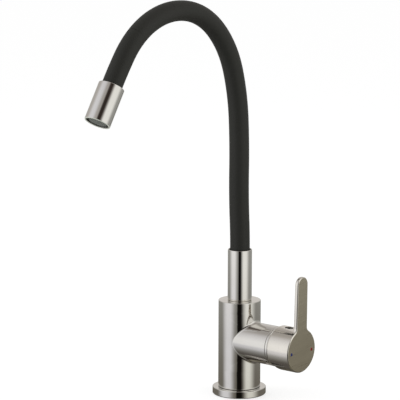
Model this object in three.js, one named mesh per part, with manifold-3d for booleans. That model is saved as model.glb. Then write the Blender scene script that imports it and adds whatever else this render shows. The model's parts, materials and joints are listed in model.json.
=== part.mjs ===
// Flexible kitchen faucet: one hole in the deck, a side lever on a short branch, and a spout
// that is a self-supporting metal hose in a silicone sleeve.
// Millimetres, +Z up. The origin is the centre of the flange's underside, on the deck.
// The branch points along +X and the spout reaches out along -Y.

import * as THREE from 'three';
import { mergeVertices } from 'three/addons/utils/BufferGeometryUtils.js';
import Module from 'manifold-3d';

const wasm = await Module();
wasm.setup();

// Fits
const gap = 0.3; // between two pieces that touch
const ballGap = 0.8; // between the ball ends of two hose links
const overrun = 5; // how far a cutting shape runs past the face that it opens
const weldDistance = 0.001; // points nearer than this are one point

// Facets round a turned piece
const roundSides = 36;
const smallSides = 20;
const tinySides = 12;
const oRingSides = 8;
const hoseSides = 16;
const coreSides = 12;
const hexSides = 6;

// Base flange and its gasket
const flangeRadius = 26.6;
const flangeHeight = 7.2;
const flangeFootEdge = 0.8;
const flangeTopEdge = 0.5;
const gasketInnerRadius = 19.6;
const gasketWidth = 3.6;
const gasketHeight = 1.6;

// Body casting
const bodyRadius = 21;
const bodyTop = 95;
const bodyEdge = 0.5;
const footSpigotRadius = 17.2;
const footSpigotLength = 5.5;
const branchHeight = 54.85;
const branchLength = 48;
const chamberDepth = 33.4; // from the branch's end to the chamber's floor
const mouthWall = 0.9;
const inletSocketRadius = 5;
const inletSocketDepth = 12;
const inletForward = 5;
const inletSpread = 7.5;
const inletRadius = 3.4;
const outletRadius = 3.8;
const outletRise = 9.5;

// Deck fixing: stud, rubber and steel horseshoes, nut
const studRadius = 4;
const studBack = 11;
const studThreadDepth = 22;
const studDrop = 62;
const deckThickness = 20;
const horseshoeRadius = 24;
const horseshoeSlotHalfWidth = 13.5;
const horseshoeBridge = 5;
const rubberThickness = 3;
const plateThickness = 2;
const studNutRadius = 7.5;
const studNutHeight = 8;

// Cartridge, stacked outward from the chamber floor
const cartridgeRadius = 17.5;
const sealRadius = 14.6;
const sealThickness = 0.8;
const cartridgeBaseThickness = 4;
const fixedDiscRadius = 14.6;
const fixedDiscThickness = 3;
const movingDiscRadius = 11.5;
const movingDiscThickness = 3;
const mixingPocketRadius = 7.5;
const mixingPocketDepth = 1.6;
const discCarrierThickness = 6.6;
const ballPocketHalfWidth = 3.5;
const ballPocketFloor = 1.5;
const housingWall = 1.5;
const housingLength = 22.7;
const shoulderThickness = 1.6;
const neckRadius = 13.5;
const neckWall = 1.3;
const neckLength = 6;
const turretFlangeThickness = 5.5;
const turretSlotAbove = 9.2;
const turretSlotBelow = 7.6;
const pivotInset = 8.4; // how far the lift pivot lies behind the hub's rear rim
const pivotPinRadius = 1.5;
const pivotPinLength = 21;
const stemHalfWidth = 4;
const stemRearReach = 4;
const stemFrontReach = 26;
const armLength = 13.5;
const armRadius = 2.1;
const armBallRadius = 2.6;

// Cartridge nut and trim ring
const nutStep = 0.9; // how far the nut's thread stands out past the cartridge
const nutRingLength = 5.2;
const nutHexLength = 3.6;
const nutBore = 14;
const trimWall = 1;
const trimFrontWall = 0.6;
const trimLength = 4.4;
const trimChamfer = 1.2;

// Lever handle
const faceLean = 1; // degrees that the face and the blade lean outward
const liftTravel = 25; // degrees that the lever pulls out
const hubWall = 2.05;
const hubLength = 25.9;
const hubEdge = 0.4;
const reliefDrop = 9; // below the axis, where the hub's rear rim starts to slope for the lift
const reliefAngle = 30; // degrees
const faceThickness = 4.1;
const bladeRise = 73.7;
const bladeRootHalfWidth = 8.3;
const bladeTipHalfWidth = 7.8;
const bladeFillet = 5.5;
const socketWallRadius = 8;
const socketRear = 10; // from the pivot to the rear of the stem socket
const padHalfWidth = 8.3;
const padSink = 2.55; // of the pad's underside below the hub's crown
const padRearDrop = 0.2; // below the hub's crown at the rear rim
const padFrontDrop = 1.6; // below it at the blade
const screwForward = 18.6; // from the pivot to the clamping screw
const screwTowerRadius = 6;
const screwRadius = 2.5;
const screwLength = 8;
const screwHexRadius = 1.4;
const screwHexDepth = 3;
const capRadius = 3.9;
const capThickness = 2;
const capSink = 2.2;
const markRadius = 1.3;
const markThickness = 0.6;
const markSpread = 15.6;
const markDrop = 0.8; // below the axis

// Spout foot: slide ring, spigot, O-rings, snap ring, collar
const spoutSpigotRadius = 9.8;
const spoutSpigotDepth = 22.6;
const spoutBoreSpare = 1.6;
const spoutWaterwayRadius = 5;
const slideRingThickness = 0.8;
const slideRingInset = 0.1;
const oRingRadius = 0.8;
const oRingLow = 5; // from the spigot's lower end
const oRingPitch = 6;
const grooveLandShare = 1.3; // groove width and depth as a share of the O-ring's diameter
const snapRingDepth = 5.5; // below the body's top
const snapRingThickness = 1.2;
const snapRingGrip = 1.1;
const snapRingMouthHalfWidth = 3;
const collarHeight = 49.6;
const collarWall = 1.1;
const collarClearance = 1.1;
const collarEdge = 0.5;
const spigotHeadLength = 9;
const nippleRadius = 5.2;
const nippleBore = 3.8;
const nippleLength = 12;

// Hose: a metal core in a silicone sleeve, cut into links that meet in ball ends
const coreBore = 5.6;
const coreWall = 1.8;
const sleeveWall = 2.1;
const ballStep = 1.7; // how far the ball ends stand out past the sleeve
const firstLinkLength = 30;
const lastLinkLength = 30.8;
const linkLength = 49.7;
const linkTurns = [3.5, -4.5, 4.5, 13.5, 29, 35.5, 31, 32, 4]; // degrees, from the collar on
const hoseRingSpacing = 16;
const sleeveHiddenLength = 24; // inside the collar
const ferruleWall = 1.1;
const ferruleLength = 8;

// Nozzle
const nozzleLength = 37.7;
const nozzleClearance = 1.1;
const nozzleWall = 1.6;
const nozzleEdge = 0.5;
const nozzleSleeveHold = 5; // how far the silicone sleeve reaches into the nozzle
const unionThickness = 5;
const unionDepth = 22; // from the nozzle's rear edge to the union's front face
const aeratorSealThickness = 1.2;
const aeratorSealBore = 6.5;
const regulatorRadius = 8.4;
const regulatorThickness = 2.6;
const regulatorHoleRadius = 1.1;
const regulatorHoleCircle = 4.6;
const regulatorHoles = 6;
const aeratorWall = 1.5;
const aeratorInset = 0.8; // how far the aerator sits back in the nozzle's mouth
const aeratorLip = 0.7;
const screenThickness = 0.8;
const screenPitch = 2.9;
const screenHoleRadius = 1.3;
const screenRings = 2;
const aeratorNotches = 4;
const aeratorNotchHalfWidth = 1.1;

// Sizes that follow from those above
const radians = Math.PI / 180;
const footHeight = flangeHeight + gap;
const chamberRadius = cartridgeRadius + gap;
const nutRadius = cartridgeRadius + nutStep;
const mouthRadius = nutRadius + gap;
const branchRadius = mouthRadius + mouthWall;
const chamberFloor = branchLength - chamberDepth;
const trimRadius = mouthRadius + trimWall;
const hubRear = branchLength + gap + trimLength + gap;
const hubBore = mouthRadius + trimFrontWall + gap;
const hubRadius = hubBore + hubWall;
const pivotReach = hubRear - pivotInset;
const faceReach = hubRear + hubLength;
const coreRadius = coreBore + coreWall;
const sleeveBore = coreRadius + gap;
const hoseRadius = sleeveBore + sleeveWall;
const ballRadius = hoseRadius + ballStep;
const collarBore = hoseRadius + collarClearance;
const collarRadius = collarBore + collarWall;
const spoutBore = spoutSpigotRadius + gap;
const slideRingFoot = bodyTop + gap;
const collarFoot = slideRingFoot + slideRingThickness + gap;
const collarTop = collarFoot + collarHeight;
const spigotFoot = bodyTop - spoutSpigotDepth;
const nippleFoot = collarFoot + spigotHeadLength;
const sleeveFoot = collarTop - sleeveHiddenLength;
const coreFoot = nippleFoot + gap;
const nozzleBore = hoseRadius + nozzleClearance;
const nozzleRadius = nozzleBore + nozzleWall;

// Finishes
const satinChrome = { color: '#c9c7c4', roughness: 0.22, metalness: 1 };
const brushedNickel = { color: '#b3ad9f', roughness: 0.34, metalness: 1 };
const brassFinish = { color: '#b08d4f', roughness: 0.4, metalness: 1 };
const steelFinish = { color: '#9a9da0', roughness: 0.35, metalness: 1 };
const siliconeFinish = { color: '#2b2c27', roughness: 0.62, metalness: 0 };
const rubberFinish = { color: '#1d1d1d', roughness: 0.8, metalness: 0 };
const ceramicFinish = { color: '#e6e2da', roughness: 0.25, metalness: 0 };
const whitePlastic = { color: '#dcdcd8', roughness: 0.5, metalness: 0 };
const greyPlastic = { color: '#6d716c', roughness: 0.55, metalness: 0 };
const blueEnamel = { color: '#26358c', roughness: 0.4, metalness: 0 };
const redEnamel = { color: '#8c2a26', roughness: 0.4, metalness: 0 };

// A closed geometry as a solid that can be joined and cut
function solid(geometry) {
  const bare = geometry.clone();
  bare.deleteAttribute('normal');
  bare.deleteAttribute('uv');
  const welded = mergeVertices(bare, weldDistance);
  const corners = welded.index.array;
  const faces = [];
  for (let i = 0; i < corners.length; i += 3) {
    const [a, b, c] = [corners[i], corners[i + 1], corners[i + 2]];
    if (a !== b && b !== c && c !== a) faces.push(a, b, c);
  }
  const vertProperties = new Float32Array(welded.attributes.position.array);
  const triVerts = new Uint32Array(faces);
  return new wasm.Manifold(new wasm.Mesh({ numProp: 3, vertProperties, triVerts }));
}

// A solid as a geometry with flat faces
function geometryOf(body) {
  const mesh = body.getMesh();
  const geometry = new THREE.BufferGeometry();
  geometry.setAttribute('position', new THREE.BufferAttribute(new Float32Array(mesh.vertProperties), 3));
  geometry.setIndex(new THREE.BufferAttribute(new Uint32Array(mesh.triVerts), 1));
  const flat = geometry.toNonIndexed();
  flat.computeVertexNormals();
  return flat;
}

// A profile of [radius, height] points, run with the material on its left, turned about Z
function turned(profile, sides = roundSides) {
  const points = profile.map(([radius, height]) => new THREE.Vector2(radius, height));
  return new THREE.LatheGeometry(points, sides).rotateX(Math.PI / 2);
}

// A plain rod from one height to another
function rod(radius, from, to, sides = roundSides) {
  return turned([[0, from], [radius, from], [radius, to], [0, to]], sides);
}

// A plain ring; edge bevels its outer corners
function ring(bore, radius, from, to, edge = 0, sides = roundSides) {
  const corners = edge > 0
    ? [[bore, from], [radius - edge, from], [radius, from + edge], [radius, to - edge], [radius - edge, to],
      [bore, to], [bore, from]]
    : [[bore, from], [radius, from], [radius, to], [bore, to], [bore, from]];
  return turned(corners, sides);
}

// A box between two corners
function block(x0, y0, z0, x1, y1, z1) {
  const box = new THREE.BoxGeometry(x1 - x0, y1 - y0, z1 - z0);
  return box.translate((x0 + x1) / 2, (y0 + y1) / 2, (z0 + z1) / 2);
}

// A rod along X, from one reach to another
function rodAlongX(radius, from, to, y, z, sides = smallSides) {
  return rod(radius, from, to, sides).rotateY(Math.PI / 2).translate(0, y, z);
}

function piece(name, shape, finish) {
  const geometry = shape.isBufferGeometry ? geometryOf(solid(shape)) : geometryOf(shape);
  const mesh = new THREE.Mesh(geometry, new THREE.MeshStandardMaterial(finish));
  mesh.name = name;
  return mesh;
}

function groupAt(x, y, z) {
  const group = new THREE.Group();
  group.position.set(x, y, z);
  return group;
}

// Flange with a groove for the gasket in its underside
function baseFlange() {
  const bore = footSpigotRadius + gap;
  const grooveInner = gasketInnerRadius - gap;
  const grooveOuter = gasketInnerRadius + gasketWidth + gap;
  const grooveTop = gasketHeight + gap;
  return piece('base_flange', turned([
    [bore, 0],
    [grooveInner, 0],
    [grooveInner, grooveTop],
    [grooveOuter, grooveTop],
    [grooveOuter, 0],
    [flangeRadius - flangeFootEdge, 0],
    [flangeRadius, flangeFootEdge],
    [flangeRadius, flangeHeight - flangeTopEdge],
    [flangeRadius - flangeTopEdge, flangeHeight],
    [bore, flangeHeight],
    [bore, 0],
  ]), satinChrome);
}

function baseGasket() {
  const geometry = ring(gasketInnerRadius, gasketInnerRadius + gasketWidth, 0, gasketHeight);
  return piece('base_gasket', geometry, rubberFinish);
}

// Upright cylinder and side branch in one casting, with the cartridge chamber, the two
// inlets, the outlet, the spout bore and the stud's thread
function bodyCasting() {
  const spigotBottom = footHeight - footSpigotLength;
  const upright = solid(turned([
    [0, spigotBottom],
    [footSpigotRadius, spigotBottom],
    [footSpigotRadius, footHeight],
    [bodyRadius - bodyEdge, footHeight],
    [bodyRadius, footHeight + bodyEdge],
    [bodyRadius, bodyTop - bodyEdge],
    [bodyRadius - bodyEdge, bodyTop],
    [0, bodyTop],
  ]));
  const branch = solid(rodAlongX(branchRadius, 0, branchLength, 0, branchHeight, roundSides));
  const counterbore = pivotReach - stemRearReach / 2;
  const cuts = [
    rodAlongX(chamberRadius, chamberFloor, branchLength + overrun, 0, branchHeight, roundSides),
    rodAlongX(mouthRadius, counterbore, branchLength + overrun, 0, branchHeight, roundSides),
    rod(outletRadius, branchHeight + outletRise, spigotFoot, smallSides),
    rodAlongX(outletRadius, 0, chamberFloor + overrun, 0, branchHeight + outletRise),
    rod(spoutBore, spigotFoot - spoutBoreSpare, bodyTop + overrun),
    rod(spoutBore + snapRingGrip, snapRingHeight() - gap, snapRingHeight() + snapRingThickness + gap),
    rod(studRadius + gap, spigotBottom - overrun, spigotBottom + studThreadDepth, smallSides)
      .translate(-studBack, 0, 0),
  ];
  for (const side of [-1, 1]) {
    const y = side * inletSpread;
    cuts.push(rod(inletSocketRadius, spigotBottom - overrun, spigotBottom + inletSocketDepth, smallSides)
      .translate(inletForward, y, 0));
    cuts.push(rod(inletRadius, spigotBottom, branchHeight, smallSides).translate(inletForward, y, 0));
    cuts.push(rodAlongX(inletRadius, inletForward, chamberFloor + overrun, y, branchHeight));
  }
  let casting = upright.add(branch);
  for (const cut of cuts) casting = casting.subtract(solid(cut));
  return piece('body_casting', casting, satinChrome);
}

function snapRingHeight() {
  return bodyTop - snapRingDepth;
}

function mountingStud() {
  const top = footHeight - footSpigotLength + studThreadDepth - gap;
  const geometry = rod(studRadius, -studDrop, top, smallSides).translate(-studBack, 0, 0);
  return piece('mounting_stud', geometry, steelFinish);
}

// A round plate under the deck, with a slot for the supply hoses and a hole for the stud
function horseshoe(name, top, thickness, finish) {
  const disc = solid(rod(horseshoeRadius, top - thickness, top));
  const slotLow = top - thickness - overrun;
  const slotHigh = top + overrun;
  const slot = solid(block(-horseshoeBridge, -horseshoeSlotHalfWidth, slotLow,
    horseshoeRadius + overrun, horseshoeSlotHalfWidth, slotHigh));
  const hole = solid(rod(studRadius + gap, slotLow, slotHigh, smallSides).translate(-studBack, 0, 0));
  return piece(name, disc.subtract(slot).subtract(hole), finish);
}

function studNut(top) {
  const hex = solid(rod(studNutRadius, top - studNutHeight, top, hexSides));
  const thread = solid(rod(studRadius + gap, top - studNutHeight - overrun, top + overrun, smallSides));
  return piece('stud_nut', hex.subtract(thread), brassFinish);
}

// The pieces that clamp the deck from below
function deckFixing() {
  const group = new THREE.Group();
  const rubberTop = -deckThickness - gap;
  const plateTop = rubberTop - rubberThickness - gap;
  const nut = studNut(plateTop - plateThickness - gap);
  nut.position.x = -studBack;
  group.add(
    horseshoe('clamp_rubber', rubberTop, rubberThickness, rubberFinish),
    horseshoe('clamp_plate', plateTop, plateThickness, steelFinish),
    nut,
  );
  return group;
}

// Inside the branch group, Z runs out along the branch, Y stays level and -X points up.

// Water ports through a disc of the cartridge: cold and hot at the sides, outlet above
function cutPorts(body, from, to) {
  let cut = body;
  for (const side of [-1, 1]) {
    cut = cut.subtract(solid(rod(inletRadius, from - overrun, to + overrun, tinySides)
      .translate(0, side * inletSpread, 0)));
  }
  const outlet = rod(inletRadius, from - overrun, to + overrun, tinySides).translate(-outletRise, 0, 0);
  return cut.subtract(solid(outlet));
}

function cartridge() {
  const group = new THREE.Group();
  const sealRear = chamberFloor + gap;
  const baseRear = sealRear + sealThickness + gap;
  const housingRear = baseRear + cartridgeBaseThickness + gap;
  const shoulder = housingRear + housingLength;
  const neckFront = shoulder + neckLength;
  const fixedRear = housingRear;
  const fixedFront = fixedRear + fixedDiscThickness;
  group.add(
    piece('cartridge_seal', cutPorts(solid(rod(sealRadius, sealRear, sealRear + sealThickness, smallSides)),
      sealRear, sealRear + sealThickness), rubberFinish),
    piece('cartridge_base', cutPorts(solid(rod(cartridgeRadius, baseRear, baseRear + cartridgeBaseThickness)),
      baseRear, baseRear + cartridgeBaseThickness), whitePlastic),
    piece('fixed_disc', cutPorts(solid(rod(fixedDiscRadius, fixedRear, fixedFront, smallSides)),
      fixedRear, fixedFront), ceramicFinish),
    piece('cartridge_housing', turned([
      [cartridgeRadius - housingWall, housingRear],
      [cartridgeRadius, housingRear],
      [cartridgeRadius, shoulder],
      [neckRadius, shoulder],
      [neckRadius, neckFront],
      [neckRadius - neckWall, neckFront],
      [neckRadius - neckWall, shoulder - shoulderThickness],
      [cartridgeRadius - housingWall, shoulder - shoulderThickness],
      [cartridgeRadius - housingWall, housingRear],
    ]), whitePlastic),
    slidingDiscs(fixedFront + gap),
    turret(shoulder - shoulderThickness - gap, neckFront),
    cartridgeNut(shoulder + gap),
  );
  return group;
}

// Moving disc and its carrier; the lever's ball slides them across the fixed disc.
// They start low by half of their travel.
function slidingDiscs(rear) {
  const group = new THREE.Group();
  const travel = armLength * Math.sin(liftTravel * radians);
  const low = travel / 2;
  const discFront = rear + movingDiscThickness;
  const carrierRear = discFront + gap;
  const carrierFront = carrierRear + discCarrierThickness;
  const disc = solid(rod(movingDiscRadius, rear, discFront, smallSides));
  const pocket = solid(rod(mixingPocketRadius, rear - overrun, rear + mixingPocketDepth, smallSides));
  const carrier = solid(rod(movingDiscRadius, carrierRear, carrierFront, smallSides));
  const ballPocket = solid(block(
    -low - ballPocketHalfWidth, -ballPocketHalfWidth, carrierRear + ballPocketFloor,
    -low + ballPocketHalfWidth, ballPocketHalfWidth, carrierFront + overrun,
  ));
  group.add(
    piece('moving_disc', disc.subtract(pocket), ceramicFinish),
    piece('disc_carrier', carrier.subtract(ballPocket), whitePlastic),
  );
  group.position.x = low;
  return group;
}

// Turret that turns in the cartridge's neck and carries the lift pin across its slot
function turret(flangeFront, front) {
  const group = new THREE.Group();
  const flangeRear = flangeFront - turretFlangeThickness;
  const neck = neckRadius - neckWall - gap;
  const flange = cartridgeRadius - housingWall - gap;
  const blank = solid(turned([
    [0, flangeRear],
    [flange, flangeRear],
    [flange, flangeFront],
    [neck, flangeFront],
    [neck, front],
    [0, front],
  ]));
  const slot = solid(block(-turretSlotAbove, -stemHalfWidth - gap, flangeRear - overrun,
    turretSlotBelow, stemHalfWidth + gap, front + overrun));
  const pinHole = solid(rod(pivotPinRadius + gap, -hubRadius, hubRadius, tinySides)
    .rotateX(Math.PI / 2).translate(0, 0, pivotReach));
  const pin = rod(pivotPinRadius, -pivotPinLength / 2, pivotPinLength / 2, tinySides)
    .rotateX(Math.PI / 2).translate(0, 0, pivotReach);
  group.add(
    piece('stem_turret', blank.subtract(slot).subtract(pinHole), greyPlastic),
    piece('pivot_pin', pin, steelFinish),
  );
  return group;
}

// Nut that holds the cartridge down: a threaded ring with a hexagon in front
function cartridgeNut(rear) {
  const hexRear = rear + nutRingLength;
  const thread = solid(ring(nutBore, nutRadius, rear, hexRear));
  const hex = solid(rod(nutRadius, hexRear, hexRear + nutHexLength, hexSides));
  const bore = solid(rod(nutBore, rear - overrun, hexRear + nutHexLength + overrun));
  return piece('cartridge_nut', thread.add(hex.subtract(bore)), brassFinish);
}

function trimRing() {
  const rear = branchLength + gap;
  const front = rear + trimLength;
  const frontRadius = mouthRadius + trimFrontWall;
  return piece('trim_ring', turned([
    [mouthRadius, rear],
    [trimRadius, rear],
    [trimRadius, front - trimChamfer],
    [frontRadius, front],
    [mouthRadius, front],
    [mouthRadius, rear],
  ]), satinChrome);
}

// Inside the lever group, Z starts at the lift pivot and runs out along the stem.

// Outline of the blade above the hub, drawn level by upright, with its foot inside the disc
function bladeOutline() {
  const filletDistance = hubRadius + bladeFillet;
  const filletAcross = bladeRootHalfWidth + bladeFillet;
  const filletUp = Math.sqrt(filletDistance ** 2 - filletAcross ** 2);
  const lean = Math.atan2(filletUp, filletAcross);
  const tipUp = bladeRise - bladeTipHalfWidth;
  const outline = new THREE.Shape();
  outline.moveTo(0, 0);
  outline.absarc(filletAcross, filletUp, bladeFillet, lean + Math.PI, Math.PI, true);
  outline.absarc(0, tipUp, bladeTipHalfWidth, 0, Math.PI, false);
  outline.absarc(-filletAcross, filletUp, bladeFillet, 0, -lean, true);
  outline.closePath();
  return outline;
}

// Leans what lies past a place on the stem, so that it moves outward as it rises
function leanPast(geometry, from) {
  const places = geometry.attributes.position;
  const slope = Math.tan(faceLean * radians);
  for (let i = 0; i < places.count; i += 1) {
    if (places.getZ(i) > from) places.setZ(i, places.getZ(i) - places.getX(i) * slope);
  }
  return geometry;
}

// A side outline of [outward, upward] points, drawn out level across the hub
function acrossHub(outline, halfWidth) {
  const side = new THREE.Shape(outline.map(([out, up]) => new THREE.Vector2(out, up)));
  const slab = new THREE.ExtrudeGeometry(side, { depth: 2 * halfWidth, bevelEnabled: false });
  slab.translate(0, 0, -halfWidth);
  const outward = new THREE.Vector3(0, 0, 1);
  const upward = new THREE.Vector3(-1, 0, 0);
  const across = new THREE.Vector3(0, -1, 0);
  return solid(slab.applyMatrix4(new THREE.Matrix4().makeBasis(outward, upward, across)));
}

// Flat along the hub's top, round the screw hole: it planes the crown off, deeper towards the
// blade, over a lining that keeps the wall thick
function planeCrown(cup, rear, front) {
  const start = rear + hubEdge;
  const floor = hubRadius - padSink;
  const sky = hubRadius + overrun;
  const lining = acrossHub([[start, floor], [front, floor], [front, sky], [start, sky]], padHalfWidth)
    .intersect(solid(rod(hubRadius, start, front)));
  const slope = [[rear, hubRadius - padRearDrop], [front, hubRadius - padFrontDrop]];
  return cup.add(lining).subtract(acrossHub([...slope, [front, sky], [rear, sky]], hubRadius));
}

// What is cut off the hub's rear rim below the axis, so that it can swing in as the lever lifts
function liftRelief(rear) {
  const low = -hubRadius - overrun;
  const reach = (-low - reliefDrop) * Math.tan(reliefAngle * radians);
  return acrossHub([[rear, -reliefDrop], [rear, low], [rear + reach, low]], hubRadius + overrun);
}

function handle() {
  const rear = pivotInset;
  const front = rear + hubLength;
  const inner = front - faceThickness;
  const cup = solid(leanPast(turned([
    [0, inner],
    [hubBore, inner],
    [hubBore, rear],
    [hubRadius - hubEdge, rear],
    [hubRadius, rear + hubEdge],
    [hubRadius, front - hubEdge],
    [hubRadius - hubEdge, front],
    [0, front],
  ]), (rear + front) / 2));
  const blade = new THREE.ExtrudeGeometry(bladeOutline(), {
    depth: faceThickness, bevelEnabled: false, curveSegments: hexSides,
  }).rotateZ(Math.PI / 2).translate(0, 0, inner);
  leanPast(blade, rear);
  const tower = rod(screwTowerRadius, 0, hubRadius - hubWall / 2, smallSides)
    .rotateY(-Math.PI / 2).translate(0, 0, screwForward);
  const socket = block(-stemHalfWidth - gap, -stemHalfWidth - gap, 0,
    stemHalfWidth + gap, stemHalfWidth + gap, stemFrontReach + gap);
  const screwHole = rod(screwRadius + gap, 0, hubRadius + overrun, tinySides)
    .rotateY(-Math.PI / 2).translate(0, 0, screwForward);
  const capSeat = rod(capRadius + gap, capTop() - capThickness - gap, hubRadius + overrun, smallSides)
    .rotateY(-Math.PI / 2).translate(0, 0, screwForward);
  let casting = planeCrown(cup, rear, inner)
    .subtract(liftRelief(rear))
    .add(solid(blade))
    .add(solid(rod(socketWallRadius, socketRear, front - faceThickness / 2, smallSides)))
    .add(solid(tower))
    .subtract(solid(socket))
    .subtract(solid(screwHole))
    .subtract(solid(capSeat));
  for (const side of [-1, 1]) {
    const seat = rod(markRadius + gap, front - markThickness - gap, front + overrun, tinySides);
    casting = casting.subtract(solid(seat.translate(markDrop, side * markSpread, 0)));
  }
  return piece('lever_handle', casting, brushedNickel);
}

function capTop() {
  return hubRadius - capSink;
}

// Square stem with a pin hole; a thin arm behind it ends in the ball that moves the discs
function cartridgeStem() {
  const square = solid(block(-stemHalfWidth, -stemHalfWidth, -stemRearReach,
    stemHalfWidth, stemHalfWidth, stemFrontReach));
  const arm = solid(rod(armRadius, -armLength, -stemRearReach / 2, tinySides));
  const sphere = new THREE.SphereGeometry(armBallRadius, tinySides, tinySides);
  const ball = solid(sphere.translate(0, 0, -armLength));
  const pinHole = solid(rod(pivotPinRadius + gap, -hubRadius, hubRadius, tinySides).rotateX(Math.PI / 2));
  return piece('cartridge_stem', square.add(arm).add(ball).subtract(pinHole), brassFinish);
}

function clampingScrew() {
  const foot = stemHalfWidth + gap;
  const top = foot + screwLength;
  const shank = solid(rod(screwRadius, foot, top, tinySides));
  const hex = solid(rod(screwHexRadius, top - screwHexDepth, top + overrun, hexSides));
  const geometry = geometryOf(shank.subtract(hex)).rotateY(-Math.PI / 2).translate(0, 0, screwForward);
  return piece('clamping_screw', geometry, steelFinish);
}

function screwCap() {
  const cap = rod(capRadius, capTop() - capThickness, capTop(), smallSides);
  return piece('screw_cap', cap.rotateY(-Math.PI / 2).translate(0, 0, screwForward), greyPlastic);
}

function temperatureMark(name, side, finish) {
  const front = pivotInset + hubLength;
  const dot = rod(markRadius, front - markThickness, front, tinySides);
  return piece(name, dot.translate(markDrop, side * markSpread, 0), finish);
}

function lever() {
  const group = groupAt(0, 0, pivotReach);
  group.name = 'lift_pivot';
  group.add(
    handle(),
    cartridgeStem(),
    clampingScrew(),
    screwCap(),
    temperatureMark('cold_mark', -1, blueEnamel),
    temperatureMark('hot_mark', 1, redEnamel),
  );
  return group;
}

function branchGroup() {
  const group = groupAt(0, 0, branchHeight);
  group.rotation.y = Math.PI / 2;
  group.add(cartridge(), trimRing(), lever());
  return group;
}

function slideRing() {
  const bore = spoutSpigotRadius + gap;
  const radius = collarRadius - slideRingInset;
  const geometry = ring(bore, radius, slideRingFoot, slideRingFoot + slideRingThickness);
  return piece('slide_ring', geometry, greyPlastic);
}

function oRing(name, height) {
  const middle = spoutSpigotRadius - oRingRadius;
  const section = [];
  for (let i = 0; i <= oRingSides; i += 1) {
    const angle = (2 * Math.PI * i) / oRingSides;
    section.push([middle + oRingRadius * Math.cos(angle), height + oRingRadius * Math.sin(angle)]);
  }
  return piece(name, turned(section, smallSides), rubberFinish);
}

// Foot of the spout: it turns in the body, is held by the snap ring and carries the hose
function spoutSpigot() {
  const grooveHalf = oRingRadius * grooveLandShare;
  const grooveFloor = spoutSpigotRadius - 2 * oRingRadius * grooveLandShare;
  const snapLow = snapRingHeight() - gap;
  const snapHigh = snapRingHeight() + snapRingThickness + gap;
  const snapFloor = spoutSpigotRadius - snapRingGrip - gap;
  const profile = [[nippleBore, nippleFoot + nippleLength], [nippleBore, nippleFoot]];
  profile.push([spoutWaterwayRadius, nippleFoot - spigotHeadLength / 2], [spoutWaterwayRadius, spigotFoot]);
  profile.push([spoutSpigotRadius, spigotFoot]);
  for (const height of oRingHeights()) {
    profile.push(
      [spoutSpigotRadius, height - grooveHalf],
      [grooveFloor, height - grooveHalf],
      [grooveFloor, height + grooveHalf],
      [spoutSpigotRadius, height + grooveHalf],
    );
  }
  profile.push(
    [spoutSpigotRadius, snapLow],
    [snapFloor, snapLow],
    [snapFloor, snapHigh],
    [spoutSpigotRadius, snapHigh],
    [spoutSpigotRadius, collarFoot],
    [collarBore - gap, collarFoot],
    [collarBore - gap, nippleFoot],
    [nippleRadius, nippleFoot],
    [nippleRadius, nippleFoot + nippleLength],
    [nippleBore, nippleFoot + nippleLength],
  );
  return piece('spout_spigot', turned(profile, smallSides), brassFinish);
}

function oRingHeights() {
  return [spigotFoot + oRingLow, spigotFoot + oRingLow + oRingPitch];
}

function snapRing() {
  const low = snapRingHeight();
  const high = low + snapRingThickness;
  const inner = spoutSpigotRadius - snapRingGrip;
  const full = solid(ring(inner, spoutBore + snapRingGrip - gap, low, high, 0, smallSides));
  const mouth = solid(block(0, -snapRingMouthHalfWidth, low - overrun,
    bodyRadius, snapRingMouthHalfWidth, high + overrun));
  return piece('snap_ring', full.subtract(mouth), steelFinish);
}

function spoutCollar() {
  return piece('spout_collar', turned([
    [collarBore, collarFoot],
    [collarRadius - collarEdge, collarFoot],
    [collarRadius, collarFoot + collarEdge],
    [collarRadius, collarTop - collarEdge],
    [collarRadius - collarEdge, collarTop],
    [collarBore, collarTop],
    [collarBore, collarFoot],
  ]), satinChrome);
}

// Crimped ring round the bare end of the core
function ferrule(name, from, to) {
  const bore = coreRadius + gap;
  return piece(name, ring(bore, bore + ferruleWall, from, to, 0, smallSides), steelFinish);
}

// Centre line of one link: a straight lead, an arc that turns from +Z towards -Y, a straight tail
class LinkPath extends THREE.Curve {
  constructor(lead, length, turn, tail) {
    super();
    this.lead = lead;
    this.length = length;
    this.bend = turn * radians;
    this.tail = tail;
  }

  getPoint(t) {
    const run = t * (this.lead + this.length + this.tail) - this.lead;
    if (run <= 0) return new THREE.Vector3(0, 0, run);
    const arc = Math.min(run, this.length);
    const curve = this.bend / this.length;
    const angle = arc * curve;
    const past = run - arc;
    const out = (1 - Math.cos(angle)) / curve + past * Math.sin(angle);
    return new THREE.Vector3(0, -out, Math.sin(angle) / curve + past * Math.cos(angle));
  }
}

function linkEnd(length, turn) {
  const bend = turn * radians;
  const curve = bend / length;
  return new THREE.Vector3(0, -(1 - Math.cos(bend)) / curve, Math.sin(bend) / curve);
}

// Slides the ring of points in the pivot's plane up onto a ball about the pivot
function ringOntoBall(tube, ball) {
  const points = tube.attributes.position;
  for (let i = 0; i < points.count; i += 1) {
    const [x, y, z] = [points.getX(i), points.getY(i), points.getZ(i)];
    if (Math.abs(z) < weldDistance) points.setZ(i, Math.sqrt(ball ** 2 - x ** 2 - y ** 2));
  }
  return tube;
}

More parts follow.
